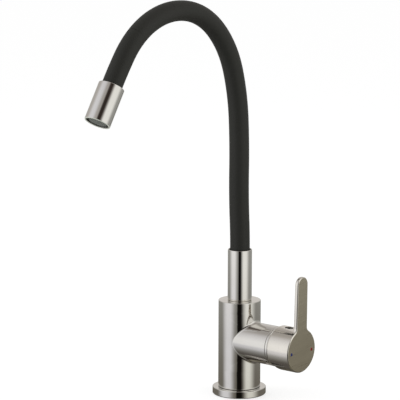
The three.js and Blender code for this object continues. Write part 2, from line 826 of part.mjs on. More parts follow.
// One tube of a link. The ball at its far end turns in the hollow at the next link's start.
function linkTube(link) {
  const path = new LinkPath(link.lead, link.length, link.turn, link.tail);
  const section = new THREE.Shape();
  section.absarc(0, 0, link.radius, 0, 2 * Math.PI, false);
  const hole = new THREE.Path();
  hole.absarc(0, 0, link.bore, 0, 2 * Math.PI, true);
  section.holes.push(hole);
  const steps = Math.ceil((link.lead + link.length) / hoseRingSpacing);
  const tube = new THREE.ExtrudeGeometry(section, {
    steps, curveSegments: link.sides / 2, bevelEnabled: false, extrudePath: path,
  });
  if (link.hollow) ringOntoBall(tube, ballRadius + ballGap);
  if (link.ball) {
    const end = linkEnd(link.length, link.turn);
    const bend = link.turn * radians;
    tube.translate(-end.x, -end.y, -end.z).rotateX(-bend);
    ringOntoBall(tube, ballRadius).rotateX(bend).translate(end.x, end.y, end.z);
  }
  return tube;
}

// The nozzle hangs on the last link; its own Z is the way that the water runs
function nozzle() {
  const group = new THREE.Group();
  const unionRear = unionDepth - unionThickness;
  const sealRear = unionDepth + gap;
  const aeratorRear = sealRear + aeratorSealThickness + gap;
  const aeratorFront = nozzleLength - aeratorInset;
  const aeratorRadius = nozzleBore - gap;
  const aeratorBore = aeratorRadius - aeratorWall;
  const screenRear = aeratorFront - aeratorLip - gap - screenThickness;
  const unionProfile = [
    [nippleBore, unionRear - nippleLength],
    [nippleRadius, unionRear - nippleLength],
    [nippleRadius, unionRear],
    [nozzleBore - gap, unionRear],
    [nozzleBore - gap, unionDepth],
    [nippleBore, unionDepth],
    [nippleBore, unionRear - nippleLength],
  ];
  group.add(
    piece('nozzle_sleeve', turned([
      [nozzleBore, 0],
      [nozzleRadius - nozzleEdge, 0],
      [nozzleRadius, nozzleEdge],
      [nozzleRadius, nozzleLength - nozzleEdge],
      [nozzleRadius - nozzleEdge, nozzleLength],
      [nozzleBore, nozzleLength],
      [nozzleBore, 0],
    ]), satinChrome),
    piece('nozzle_union', turned(unionProfile, smallSides), brassFinish),
    ferrule('upper_ferrule', nozzleSleeveHold + gap, nozzleSleeveHold + gap + ferruleLength),
    piece('aerator_seal', ring(aeratorSealBore, nozzleBore - gap, sealRear, sealRear + aeratorSealThickness, 0,
      smallSides), rubberFinish),
    flowRegulator(aeratorRear),
    aeratorHousing(aeratorBore, aeratorRadius, aeratorRear, aeratorFront),
    aeratorScreen(aeratorBore - gap, screenRear),
  );
  return group;
}

function flowRegulator(rear) {
  const front = rear + regulatorThickness;
  let disc = solid(rod(regulatorRadius, rear, front, smallSides));
  for (let i = 0; i < regulatorHoles; i += 1) {
    const angle = (2 * Math.PI * i) / regulatorHoles;
    const hole = rod(regulatorHoleRadius, rear - overrun, front + overrun, hexSides);
    hole.translate(regulatorHoleCircle * Math.cos(angle), regulatorHoleCircle * Math.sin(angle), 0);
    disc = disc.subtract(solid(hole));
  }
  return piece('flow_regulator', disc, greyPlastic);
}

// Ring with key notches in its front lip, which keeps the screen in
function aeratorHousing(bore, radius, rear, front) {
  let housing = solid(turned([
    [bore, rear],
    [radius, rear],
    [radius, front],
    [bore - aeratorLip, front],
    [bore - aeratorLip, front - aeratorLip],
    [bore, front - aeratorLip],
    [bore, rear],
  ], smallSides));
  for (let i = 0; i < aeratorNotches; i += 1) {
    const notch = block(bore, -aeratorNotchHalfWidth, front - aeratorWall,
      radius + overrun, aeratorNotchHalfWidth, front + overrun);
    housing = housing.subtract(solid(notch.rotateZ((2 * Math.PI * i) / aeratorNotches)));
  }
  return piece('aerator_housing', housing, greyPlastic);
}

// Honeycomb screen across the mouth
function aeratorScreen(radius, rear) {
  const front = rear + screenThickness;
  let screen = solid(rod(radius, rear, front, smallSides));
  for (let column = -screenRings; column <= screenRings; column += 1) {
    const rowCount = 2 * screenRings + 1 - Math.abs(column);
    for (let row = 0; row < rowCount; row += 1) {
      const across = column * screenPitch * Math.cos(30 * radians);
      const along = (row - (rowCount - 1) / 2) * screenPitch;
      const hole = rod(screenHoleRadius, rear - overrun, front + overrun, hexSides).translate(along, across, 0);
      screen = screen.subtract(solid(hole));
    }
  }
  return piece('aerator_screen', screen, steelFinish);
}

// The hose, link by link: each group stands at the pivot where its link starts
function hose() {
  const first = groupAt(0, 0, collarTop);
  const last = linkTurns.length - 1;
  let parent = first;
  linkTurns.forEach((turn, index) => {
    const endLength = index === 0 ? firstLinkLength : lastLinkLength;
    const length = index === 0 || index === last ? endLength : linkLength;
    const shared = { length, turn, hollow: index > 0, ball: index < last };
    const sleeve = {
      ...shared, bore: sleeveBore, radius: hoseRadius, sides: hoseSides,
      lead: index === 0 ? collarTop - sleeveFoot : 0,
      tail: index === last ? nozzleSleeveHold : 0,
    };
    const core = {
      ...shared, bore: coreBore, radius: coreRadius, sides: coreSides,
      lead: index === 0 ? collarTop - coreFoot : 0,
      tail: index === last ? unionDepth - unionThickness - gap : 0,
    };
    parent.add(
      piece(`hose_sleeve_${index + 1}`, linkTube(sleeve), siliconeFinish),
      piece(`hose_core_${index + 1}`, linkTube(core), steelFinish),
    );
    const next = new THREE.Group();
    next.position.copy(linkEnd(length, turn));
    next.rotation.x = turn * radians;
    next.name = `bend_${index + 1}`;
    parent.add(next);
    parent = next;
  });
  parent.add(nozzle());
  return first;
}

function spout() {
  const group = new THREE.Group();
  const [lowRing, highRing] = oRingHeights();
  group.add(
    slideRing(),
    oRing('o_ring_lower', lowRing),
    oRing('o_ring_upper', highRing),
    spoutSpigot(),
    snapRing(),
    spoutCollar(),
    ferrule('lower_ferrule', coreFoot, coreFoot + ferruleLength),
    hose(),
  );
  return group;
}

const faucet = new THREE.Group();
faucet.name = 'flexible_kitchen_faucet';
faucet.add(baseFlange(), baseGasket(), bodyCasting(), mountingStud(), deckFixing(), branchGroup(), spout());

export default faucet;
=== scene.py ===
import json
import math

import bmesh
import bpy
from mathutils import Matrix, Vector


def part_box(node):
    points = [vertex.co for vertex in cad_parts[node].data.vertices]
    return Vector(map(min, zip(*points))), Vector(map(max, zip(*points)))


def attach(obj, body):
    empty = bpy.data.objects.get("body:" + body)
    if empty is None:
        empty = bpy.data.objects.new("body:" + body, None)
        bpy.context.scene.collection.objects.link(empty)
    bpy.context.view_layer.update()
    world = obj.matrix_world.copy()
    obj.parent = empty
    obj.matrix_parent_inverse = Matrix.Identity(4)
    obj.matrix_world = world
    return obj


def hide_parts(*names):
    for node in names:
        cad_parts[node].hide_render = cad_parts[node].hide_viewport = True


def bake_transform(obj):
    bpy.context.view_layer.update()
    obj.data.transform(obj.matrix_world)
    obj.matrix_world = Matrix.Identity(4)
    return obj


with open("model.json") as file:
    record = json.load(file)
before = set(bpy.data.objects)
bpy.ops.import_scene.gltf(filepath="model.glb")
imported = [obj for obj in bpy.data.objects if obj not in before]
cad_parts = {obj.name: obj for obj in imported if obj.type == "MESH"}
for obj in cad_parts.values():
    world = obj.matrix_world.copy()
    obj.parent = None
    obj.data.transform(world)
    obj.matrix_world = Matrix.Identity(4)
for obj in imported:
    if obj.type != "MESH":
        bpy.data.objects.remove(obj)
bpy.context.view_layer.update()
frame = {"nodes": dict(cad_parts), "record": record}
print("frame loaded:", len(frame["nodes"]), "nodes")

mm = 0.001
scene = bpy.context.scene


# places shared by several pieces, in mm, as the solids have them

branchAxis = 54.85  # height of the branch over the deck
pivotReach = 44.6  # the lever lifts about this point of the branch's axis
collarFoot, collarTop = 96.4, 146.0

hosePath = {
    "linkLengths": [30.0] + [49.7] * 7 + [30.8],
    "linkTurns": [3.5, -4.5, 4.5, 13.5, 29.0, 35.5, 31.0, 32.0, 4.0],  # degrees towards -Y
}


def hexColour(text, alpha=1.0):
    # sRGB hex to the linear numbers that nodes take
    values = [int(text[i:i + 2], 16) / 255 for i in (1, 3, 5)]
    linear = [v / 12.92 if v <= 0.04045 else ((v + 0.055) / 1.055) ** 2.4 for v in values]
    return (*linear, alpha)


def addNode(tree, kind, inputs=None, **settings):
    # one node with its settings; an input takes a value or another node's output
    node = tree.nodes.new(kind)
    for name, value in settings.items():
        setattr(node, name, value)
    for socket, value in (inputs or {}).items():
        if isinstance(value, bpy.types.NodeSocket):
            tree.links.new(value, node.inputs[socket])
        else:
            node.inputs[socket].default_value = value
    return node


def newMaterial(name):
    material = bpy.data.materials.new(name)
    material.use_nodes = True
    material.node_tree.nodes.clear()
    return material, material.node_tree


def setStops(ramp, stops):
    # stops are (position, colour) with colours as hex text or grey numbers
    elements = ramp.color_ramp.elements
    while len(elements) > 1:
        elements.remove(elements[-1])
    for index, (position, colour) in enumerate(stops):
        element = elements[0] if index == 0 else elements.new(position)
        element.position = position
        element.color = hexColour(colour) if isinstance(colour, str) else (colour, colour, colour, 1.0)


# every finish has soft clouds of colour and a far finer grain
patternShape = {
    "cloudDetail": 3.0, "cloudRoughness": 0.55, "grainDetail": 2.0, "grainRoughness": 0.6,
    "grainLow": 0.3, "grainHigh": 0.7,
}


def makeSurface(name, look):
    # the common finish: a cloudy tint, a roughness that wanders, and a fine grain as bump
    material, tree = newMaterial(name)
    place = addNode(tree, "ShaderNodeTexCoord").outputs["Object"]
    stretched = addNode(tree, "ShaderNodeMapping", {
        "Vector": place, "Scale": look.get("grainStretch", (1, 1, 1)),
        "Rotation": look.get("grainTurn", (0, 0, 0)),
    }, vector_type="TEXTURE").outputs["Vector"]
    clouds = addNode(tree, "ShaderNodeTexNoise", {
        "Vector": place, "Scale": 1 / (look["cloudMm"] * mm),
        "Detail": patternShape["cloudDetail"], "Roughness": patternShape["cloudRoughness"],
    }).outputs["Fac"]
    grain = addNode(tree, "ShaderNodeTexNoise", {
        "Vector": stretched, "Scale": 1 / (look["grainMm"] * mm),
        "Detail": patternShape["grainDetail"], "Roughness": patternShape["grainRoughness"],
    }).outputs["Fac"]
    tint = addNode(tree, "ShaderNodeMix", {"Factor": clouds}, data_type="RGBA")
    tint.inputs["A"].default_value = hexColour(look["colours"][0])
    tint.inputs["B"].default_value = hexColour(look["colours"][1])
    colour = tint.outputs["Result"]
    if look.get("grainTint"):
        shade = addNode(tree, "ShaderNodeMix", {"Factor": grain}, data_type="RGBA")
        shade.inputs["A"].default_value = hexColour(look["grainTint"])
        tree.links.new(colour, shade.inputs["B"])
        colour = shade.outputs["Result"]
    rough = addNode(tree, "ShaderNodeMapRange", {
        "Value": grain, "From Min": patternShape["grainLow"], "From Max": patternShape["grainHigh"],
        "To Min": look["roughness"][0], "To Max": look["roughness"][1],
    }).outputs["Result"]
    bump = addNode(tree, "ShaderNodeBump", {
        "Height": grain, "Strength": look["bumpStrength"], "Distance": look["bumpMm"] * mm,
    }).outputs["Normal"]
    shader = addNode(tree, "ShaderNodeBsdfPrincipled", {
        "Base Color": colour, "Roughness": rough, "Normal": bump, "Metallic": look.get("metallic", 0.0),
    })
    for socket, value in look.get("sockets", {}).items():
        shader.inputs[socket].default_value = value
    output = addNode(tree, "ShaderNodeOutputMaterial")
    tree.links.new(shader.outputs["BSDF"], output.inputs["Surface"])
    return material


# materials

finishes = {
    # bright nickel-chrome plate over buffed brass: a hard mirror with the least haze
    "polishedChrome": {
        "colours": ["#e3e1de", "#d9d6d1"], "metallic": 1.0, "cloudMm": 18, "grainMm": 0.9,
        "roughness": (0.045, 0.085), "bumpStrength": 0.012, "bumpMm": 0.02,
    },
    # the lever's plate is brushed before a thin plate: fine slanted lines, a soft olive-grey sheen
    "brushedNickel": {
        "colours": ["#d0c8b4", "#c6beaa"], "metallic": 1.0, "cloudMm": 14, "grainMm": 0.8,
        "grainStretch": (1, 50, 1), "grainTurn": (math.radians(8), 0, 0), "grainTint": "#c2baa6",
        "roughness": (0.27, 0.39), "bumpStrength": 0.06, "bumpMm": 0.02,
    },
    # nickel plate on the lever's sides: polished, a little hazier than the chrome
    "satinNickel": {
        "colours": ["#eae6df", "#dfdad2"], "metallic": 1.0, "cloudMm": 16, "grainMm": 0.7,
        "roughness": (0.09, 0.15), "bumpStrength": 0.03, "bumpMm": 0.02,
    },
    # matte silicone, moulded: black with an olive cast, a fine dusty grain
    "blackSilicone": {
        "colours": ["#1c1e18", "#201f1c"], "cloudMm": 30, "grainMm": 0.45,
        "roughness": (0.50, 0.64), "bumpStrength": 0.10, "bumpMm": 0.05,
        "sockets": {"IOR": 1.41, "Sheen Weight": 0.03, "Sheen Roughness": 0.6},
    },
    # yellow brass as it leaves the lathe
    "turnedBrass": {
        "colours": ["#c9a765", "#b8934f"], "metallic": 1.0, "cloudMm": 9, "grainMm": 0.4,
        "roughness": (0.22, 0.36), "bumpStrength": 0.08, "bumpMm": 0.03,
    },
    # stainless steel, pickled: grey and slightly uneven
    "stainlessSteel": {
        "colours": ["#a9abac", "#97999a"], "metallic": 1.0, "cloudMm": 10, "grainMm": 0.5,
        "roughness": (0.26, 0.40), "bumpStrength": 0.06, "bumpMm": 0.03,
    },
    # nitrile rubber for seals: black, dull
    "nitrileRubber": {
        "colours": ["#1c1c1b", "#232322"], "cloudMm": 12, "grainMm": 0.5,
        "roughness": (0.55, 0.75), "bumpStrength": 0.15, "bumpMm": 0.05, "sockets": {"IOR": 1.52},
    },
    # lapped alumina discs: cream white, close to polished
    "aluminaCeramic": {
        "colours": ["#ece8df", "#e2ddd2"], "cloudMm": 8, "grainMm": 0.3,
        "roughness": (0.18, 0.28), "bumpStrength": 0.03, "bumpMm": 0.01, "sockets": {"IOR": 1.77},
    },
    # acetal in its natural white: waxy, even
    "whiteAcetal": {
        "colours": ["#e4e4df", "#dadad4"], "cloudMm": 12, "grainMm": 0.4,
        "roughness": (0.38, 0.50), "bumpStrength": 0.05, "bumpMm": 0.02, "sockets": {"IOR": 1.48},
    },
    # acetal dyed grey-green, as aerators are: satin from the mould
    "greyAcetal": {
        "colours": ["#7b7f7a", "#6d716c"], "cloudMm": 10, "grainMm": 0.4,
        "roughness": (0.36, 0.50), "bumpStrength": 0.06, "bumpMm": 0.02, "sockets": {"IOR": 1.48},
    },
    # pale green-grey white for the lip round the nozzle's mouth: a painted reflection, a flat pale colour
    # put on the chrome sleeve's end in place of the light it reflects
    "paintedReflectionLip": {
        "colours": ["#c9cdc2", "#bfc3b8"], "cloudMm": 10, "grainMm": 0.4,
        "roughness": (0.30, 0.42), "bumpStrength": 0.04, "bumpMm": 0.02, "sockets": {"IOR": 1.48},
    },
    # near-black acetal of the aerator's housing, also on the screw cap: its dark colour is painted shade, so
    # that the housing reads as a dark ring inside the mouth and the screw hole reads dark
    "paintedShadeAcetal": {
        "colours": ["#252624", "#2e2f2c"], "cloudMm": 10, "grainMm": 0.4,
        "roughness": (0.36, 0.50), "bumpStrength": 0.05, "bumpMm": 0.02, "sockets": {"IOR": 1.48},
    },
    # baked enamel dots: glossy, slightly domed
    "blueEnamel": {
        "colours": ["#141f60", "#101a54"], "cloudMm": 1, "grainMm": 0.2,
        "roughness": (0.18, 0.28), "bumpStrength": 0.05, "bumpMm": 0.01, "sockets": {"IOR": 1.5},
    },
    "redEnamel": {
        "colours": ["#7c1114", "#6c0e11"], "cloudMm": 1, "grainMm": 0.2,
        "roughness": (0.18, 0.28), "bumpStrength": 0.05, "bumpMm": 0.01, "sockets": {"IOR": 1.5},
    },
}
materials = {name: makeSurface(name, look) for name, look in finishes.items()}

slotFinish = {
    "chrome": "polishedChrome", "nickel": "brushedNickel", "brass": "turnedBrass", "steel": "stainlessSteel",
    "silicone": "blackSilicone", "rubber": "nitrileRubber", "ceramic": "aluminaCeramic",
    "white_plastic": "whiteAcetal", "grey_plastic": "greyAcetal",
    "blue_enamel": "blueEnamel", "red_enamel": "redEnamel",
}
# the screw cap takes the near-black finish: painted shade in the screw hole
nodeFinish = {"screw_cap": "paintedShadeAcetal"}
slotOfNode = {part["node"]: part["material_slot"] for part in frame["record"]["subparts"]}
for nodeName, nodeObject in frame["nodes"].items():
    nodeObject.data.materials.clear()
    nodeObject.data.materials.append(materials[nodeFinish.get(nodeName, slotFinish[slotOfNode[nodeName]])])
print("materials ready:", len(materials))


# mesh helpers; all sizes in mm

flatHold = 0.12  # a last strip of flat beside each rounding
alike = 1e-6  # places closer than this are the same


def roundedProfile(corners, steps=6):
    # corners are (radius, height, rounding) in order; each rounding becomes an arc with a
    # holding point on both sides, so that the flats beside it stay flat in the reflections
    points = []
    count = len(corners)
    for index, (radius, height, rounding) in enumerate(corners):
        here = Vector((radius, height))
        before = Vector(corners[index - 1][:2]) - here
        after = Vector(corners[(index + 1) % count][:2]) - here
        ends = index in (0, count - 1) and radius == 0
        if rounding <= 0 or ends:
            points.append(tuple(here))
            continue
        before.normalize()
        after.normalize()
        opening = before.angle(after)
        reach = rounding / math.tan(opening / 2)
        centre = here + (before + after).normalized() * (rounding / math.sin(opening / 2))
        start = here + before * reach
        finish = here + after * reach
        points.append(tuple(start + before * flatHold))
        first = math.atan2(*(start - centre).yx)
        sweep = (math.atan2(*(finish - centre).yx) - first + math.pi) % (2 * math.pi) - math.pi
        for step in range(steps + 1):
            angle = first + sweep * step / steps
            points.append((centre.x + rounding * math.cos(angle), centre.y + rounding * math.sin(angle)))
        points.append(tuple(finish + after * flatHold))
    return points


def splitLong(points, longest):
    # adds points on long runs, so that no face is drawn out
    result = []
    for index, point in enumerate(points):
        result.append(point)
        following = points[(index + 1) % len(points)]
        parts = math.ceil(math.dist(point, following) / longest)
        for part in range(1, parts):
            share = part / parts
            result.append(tuple(a + (b - a) * share for a, b in zip(point, following)))
    return result


def roundPlace(radius, angle, height, centreX=0.0):
    return Vector((centreX + radius * math.cos(angle), radius * math.sin(angle), height))


def joinRings(bm, first, second):
    # a band of quads between two closed rings of as many points
    count = len(first)
    for index in range(count):
        following = (index + 1) % count
        bm.faces.new((first[index], first[following], second[following], second[index]))


def revolve(bm, profile, sides, place=Matrix.Identity(4)):
    # a closed profile of (radius, height), material on its left, turned about local Z
    rings = []
    angles = [2 * math.pi * side / sides for side in range(sides)]
    for radius, height in profile:
        around = angles if radius > alike else [0]
        rings.append([bm.verts.new(place @ roundPlace(radius, angle, height)) for angle in around])
    for index, lower in enumerate(rings):
        upper = rings[(index + 1) % len(rings)]
        if len(lower) > 1 and len(upper) > 1:
            joinRings(bm, lower, upper)
            continue
        if len(lower) == len(upper):
            continue
        for side in range(sides):
            following = (side + 1) % sides
            if len(lower) == 1:
                bm.faces.new((lower[0], upper[following], upper[side]))
            else:
                bm.faces.new((lower[side], lower[following], upper[0]))


def linkMesh(name, bm):
    # a finished bmesh becomes a linked object with smooth faces
    mesh = bpy.data.meshes.new(name)
    bm.to_mesh(mesh)
    bm.free()
    for face in mesh.polygons:
        face.use_smooth = True
    piece = bpy.data.objects.new(name, mesh)
    scene.collection.objects.link(piece)
    return piece


def evaluatedMesh(piece):
    # the piece's mesh with its modifiers worked in
    return bpy.data.meshes.new_from_object(piece.evaluated_get(bpy.context.evaluated_depsgraph_get()))


def finishMesh(name, bm, material, body, replaced, sharpAngle=32):
    # mm to metres, smooth shading with sharp corners, then onto its body
    bmesh.ops.remove_doubles(bm, verts=bm.verts, dist=1e-4)
    bmesh.ops.recalc_face_normals(bm, faces=bm.faces)
    bmesh.ops.scale(bm, vec=(mm, mm, mm), verts=bm.verts)
    piece = linkMesh(name, bm)
    piece.data.set_sharp_from_angle(angle=math.radians(sharpAngle))
    piece.data.materials.append(materials[material])
    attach(piece, body)
    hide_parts(*replaced)
    return piece


def turnedPiece(name, corners, material, body, replaced, place=Matrix.Identity(4), sides=128, steps=6):
    longestRun = 6.0
    bm = bmesh.new()
    revolve(bm, splitLong(roundedProfile(corners, steps), longestRun), sides, place)
    return finishMesh(name, bm, material, body, replaced)


alongBranch = Matrix.Translation((0, 0, branchAxis)) @ Matrix.Rotation(math.pi / 2, 4, "Y")


# hose frames: where each link starts and how it is turned

def walkHose():
    # link starts as (place, turn) down the chain, turn in radians from straight up
    starts = []
    y, z, turn = 0.0, collarTop, 0.0
    for length, bend in zip(hosePath["linkLengths"], hosePath["linkTurns"]):
        starts.append((y, z, turn))
        curve = math.radians(bend) / length
        y -= (math.cos(turn) - math.cos(turn + math.radians(bend))) / curve
        z += (math.sin(turn + math.radians(bend)) - math.sin(turn)) / curve
        turn += math.radians(bend)
    starts.append((y, z, turn))
    return starts


linkStarts = walkHose()


def hosePoint(link, run):
    # centre line at a run in mm along one link; before and past its ends it goes on straight
    y, z, turn = linkStarts[link]
    length = hosePath["linkLengths"][link]
    curve = math.radians(hosePath["linkTurns"][link]) / length
    arc = min(max(run, 0.0), length)
    ahead = turn + curve * arc
    y -= (math.cos(turn) - math.cos(ahead)) / curve + (run - arc) * math.sin(ahead)
    z += (math.sin(ahead) - math.sin(turn)) / curve + (run - arc) * math.cos(ahead)
    return Vector((0, y, z))


# body: an upright cylinder and a branch that meet in a rolled fillet

bodyShape = {
    "radius": 21.0, "foot": 7.5, "top": 95.0, "edge": 0.55, "footEdge": 0.25,
    "branchRadius": 19.6, "branchEnd": 48.0, "branchEdge": 0.45, "fillet": 2.4,
    "mouthRadius": 18.7, "mouthDepth": 5.2, "chamberRadius": 17.8, "chamberFloor": 14.6,
    "spoutBore": 10.1, "spoutBoreFloor": 69.4, "spigotRadius": 17.2, "spigotFoot": 2.0,
    "columnTurn": 3.0, "patchColumns": 32, "patchHalfHeight": 30.0, "patchRow": 2.0,
    "filletHold": 0.15, "patchHold": 0.02, "patchCrowding": 1.15, "endRun": 8.0,
}


def makeBody(shape):
    bm = bmesh.new()
    radius, branch, fillet = shape["radius"], shape["branchRadius"], shape["fillet"]
    columns = round(360 / shape["columnTurn"])
    wide, high = shape["patchColumns"], shape["patchHalfHeight"]
    rows = round(2 * high / shape["patchRow"])

    def onBody(angle, height, out=radius):
        return (out * math.cos(angle), out * math.sin(angle), height)

    # border of the patch round the branch, as grid places, counter-clockwise seen from +X
    border = [(wide, row) for row in range(rows // 2, rows)]
    border += [(column, rows) for column in range(wide, -wide, -1)]
    border += [(-wide, row) for row in range(rows, 0, -1)]
    border += [(column, 0) for column in range(-wide, wide)]
    border += [(wide, row) for row in range(0, rows // 2)]

    grid = {}

    def gridVert(column, row):
        key = (column % columns, row)
        if key not in grid:
            angle = math.radians(shape["columnTurn"]) * (column % columns)
            height = branchAxis - high + row * shape["patchRow"]
            grid[key] = bm.verts.new(onBody(angle, height))
        return grid[key]

    # upright wall round the back of the patch
    for column in range(wide, columns - wide):
        for row in range(rows):
            bm.faces.new((gridVert(column, row), gridVert(column + 1, row),
                          gridVert(column + 1, row + 1), gridVert(column, row + 1)))

    # rings of the patch from the fillet out to its border
    angles = []
    for column, row in border:
        across = column / wide
        up = (row - rows / 2) / (rows / 2)
        angles.append(math.atan2(up, across))
    arcSteps, patchRings, branchRings = 8, 9, 10
    strips = []
    for (column, row), turn in zip(border, angles):
        outY = (branch + fillet) * math.cos(turn)
        outX = math.sqrt((radius + fillet) ** 2 - outY ** 2)
        centre = Vector((outX, outY, branchAxis + (branch + fillet) * math.sin(turn)))
        toBranch = Vector((0, -math.cos(turn), -math.sin(turn)))
        toBody = Vector((-centre.x, -centre.y, 0)).normalized()
        wallY, wallZ = branch * math.cos(turn), branchAxis + branch * math.sin(turn)
        strip = []
        # along the branch from its end to the fillet
        near = centre.x + shape["filletHold"]
        far = shape["branchEnd"] - shape["branchEdge"] - flatHold
        for ring in range(branchRings + 1):
            x = far + (near - far) * ring / branchRings
            strip.append(bm.verts.new((x, wallY, wallZ)))
        opening = toBranch.angle(toBody)
        for step in range(arcSteps + 1):
            share = step / arcSteps
            way = toBranch
            if opening > alike:
                mixed = toBranch * math.sin((1 - share) * opening) + toBody * math.sin(share * opening)
                way = mixed / math.sin(opening)
            strip.append(bm.verts.new(centre + way * fillet))
        contactAngle = math.atan2(centre.y, centre.x)
        borderAngle = math.radians(shape["columnTurn"]) * column
        borderHeight = branchAxis - high + row * shape["patchRow"]
        for ring in range(1, patchRings):
            share = shape["patchHold"]
            if ring > 1:
                share = ((ring - 1) / (patchRings - 1)) ** shape["patchCrowding"]
            strip.append(bm.verts.new(onBody(contactAngle + (borderAngle - contactAngle) * share,
                                             centre.z + (borderHeight - centre.z) * share)))
        strip.append(gridVert(column, row))
        strips.append(strip)
    for index, strip in enumerate(strips):
        following = strips[(index + 1) % len(strips)]
        for ring in range(len(strip) - 1):
            bm.faces.new((strip[ring], strip[ring + 1], following[ring + 1], following[ring]))

    # branch end, mouth and chamber, turned on the same angles as the strips
    end = shape["branchEnd"]
    mouth = roundedProfile([
        (branch, end - 2.0, 0), (branch, end, shape["branchEdge"]), (shape["mouthRadius"], end, 0.15),
        (shape["mouthRadius"], end - shape["mouthDepth"], 0),
        (shape["chamberRadius"], end - shape["mouthDepth"], 0),
        (shape["chamberRadius"], shape["chamberFloor"], 0),
    ])[2:]
    previous = [strip[0] for strip in strips]
    for out, reach in mouth:
        ring = []
        for turn in angles:
            ring.append(bm.verts.new((reach, out * math.cos(turn), branchAxis + out * math.sin(turn))))
        joinRings(bm, ring, previous)
        previous = ring
    bm.faces.new(previous)

    # rows above and below the patch, with rounded edges, the spout bore and the foot
    def ringAt(out, height):
        step = math.radians(shape["columnTurn"])
        return [bm.verts.new(onBody(step * column, height, out)) for column in range(columns)]

    top, foot, edge = shape["top"], shape["foot"], shape["edge"]
    upper = roundedProfile([
        (radius, top - shape["endRun"], 0), (radius, top, edge), (shape["spoutBore"], top, 0.3),
        (shape["spoutBore"], shape["spoutBoreFloor"], 0),
    ])
    lower = roundedProfile([
        (radius, foot + shape["endRun"], 0), (radius, foot, shape["footEdge"]),
        (shape["spigotRadius"], foot, 0), (shape["spigotRadius"], shape["spigotFoot"], 0),
    ])
    topRow = [gridVert(column, rows) for column in range(columns)]
    footRow = [gridVert(column, 0) for column in range(columns)]
    for start, profile, upward in ((topRow, upper, True), (footRow, lower, False)):
        previous = start
        for out, height in profile:
            ring = ringAt(out, height)
            if upward:
                joinRings(bm, previous, ring)
            else:
                joinRings(bm, ring, previous)
            previous = ring
        bm.faces.new(previous)
    return bm


bodyMesh = makeBody(bodyShape)
bodyPiece = finishMesh("bodyCasting", bodyMesh, "polishedChrome", "mixer_body", ["body_casting"])
print("body made:", len(bodyPiece.data.polygons), "faces")


# flange, trim ring, slide ring and collar, turned from corners as (radius, height, rounding)

flangeShape = {
    "bore": 17.5, "radius": 26.6, "top": 7.2, "footRadius": 25.9, "footRise": 0.7,
    "footEdge": 0.3, "topEdge": 0.7, "boreEdge": 0.2,
}
turnedPiece("baseFlange", [
    (flangeShape["bore"], 0, 0),
    (flangeShape["footRadius"], 0, 0),
    (flangeShape["radius"], flangeShape["footRise"], flangeShape["footEdge"]),
    (flangeShape["radius"], flangeShape["top"], flangeShape["topEdge"]),
    (flangeShape["bore"], flangeShape["top"], flangeShape["boreEdge"]),
], "polishedChrome", "mixer_body", ["base_flange"], sides=144)
trimShape = {
    "bore": 18.7, "radius": 19.7, "frontRadius": 19.3, "rear": 48.3, "stepFrom": 50.6, "stepTo": 51.0,
    "front": 52.7, "rearEdge": 0.3, "frontEdge": 0.2,
}
turnedPiece("trimRing", [
    (trimShape["bore"], trimShape["rear"], 0),
    (trimShape["radius"], trimShape["rear"], trimShape["rearEdge"]),
    (trimShape["radius"], trimShape["stepFrom"], 0),
    (trimShape["frontRadius"], trimShape["stepTo"], 0),
    (trimShape["frontRadius"], trimShape["front"], trimShape["frontEdge"]),
    (trimShape["bore"], trimShape["front"], 0),
], "polishedChrome", "mixer_body", ["trim_ring"], place=alongBranch)
slideShape = {"bore": 10.1, "radius": 11.85, "foot": 95.2, "top": 96.32, "edge": 0.1}
turnedPiece("slideRing", [
    (slideShape["bore"], slideShape["foot"], 0),
    (slideShape["radius"], slideShape["foot"], slideShape["edge"]),
    (slideShape["radius"], slideShape["top"], slideShape["edge"]),
    (slideShape["bore"], slideShape["top"], 0),
], "satinNickel", "spout_foot", ["slide_ring"])
collarShape = {
    "bore": 10.9, "radius": 12.0, "footEdge": 0.15, "topEdge": 0.5, "boreFootEdge": 0.1, "boreTopEdge": 0.4,
}
turnedPiece("spoutCollar", [
    (collarShape["bore"], collarFoot, collarShape["boreFootEdge"]),
    (collarShape["radius"], collarFoot, collarShape["footEdge"]),
    (collarShape["radius"], collarTop, collarShape["topEdge"]),
    (collarShape["bore"], collarTop, collarShape["boreTopEdge"]),
], "polishedChrome", "spout_foot", ["spout_collar"])
print("turned pieces made")


# under the deck: the threaded stud and its hexagon nut

fixingShape = {
    "threadPitch": 1.25, "threadDepth": 0.65, "threadSteps": 8, "endChamfer": 1.0, "sides": 36,
    "nutSides": 96, "boreGap": 0.3, "boreChamfer": 0.6, "faceShare": 0.99,
    "cornerTurn": 30.0, "cornerDrop": 0.05,
}


def nodeBox(node):
    # a node's lowest and highest corners in mm
    low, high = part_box(node)
    return Vector(low) / mm, Vector(high) / mm


def makeStud(shape):
    # the radius follows the thread's helix, and the chamfers cut it down at both ends
    low, high = nodeBox("mounting_stud")
    radius = (high.y - low.y) / 2
    centreX = (low.x + high.x) / 2
    steps = round((high.z - low.z) / shape["threadPitch"] * shape["threadSteps"])
    bm = bmesh.new()
    previous = None
    for step in range(steps + 1):
        height = low.z + (high.z - low.z) * step / steps
        limit = radius - max(0.0, shape["endChamfer"] - min(height - low.z, high.z - height))
        ring = []
        for side in range(shape["sides"]):
            turn = side / shape["sides"]
            flank = abs(2 * ((height / shape["threadPitch"] - turn) % 1) - 1)
            reach = min(limit, radius - shape["threadDepth"] * flank)
            ring.append(bm.verts.new(roundPlace(reach, 2 * math.pi * turn, height, centreX)))
        if previous:
            joinRings(bm, previous, ring)
        else:
            bm.faces.new(list(reversed(ring)))
        previous = ring
    bm.faces.new(previous)
    return finishMesh("mountingStud", bm, "stainlessSteel", "mixer_body", ["mounting_stud"], 75)


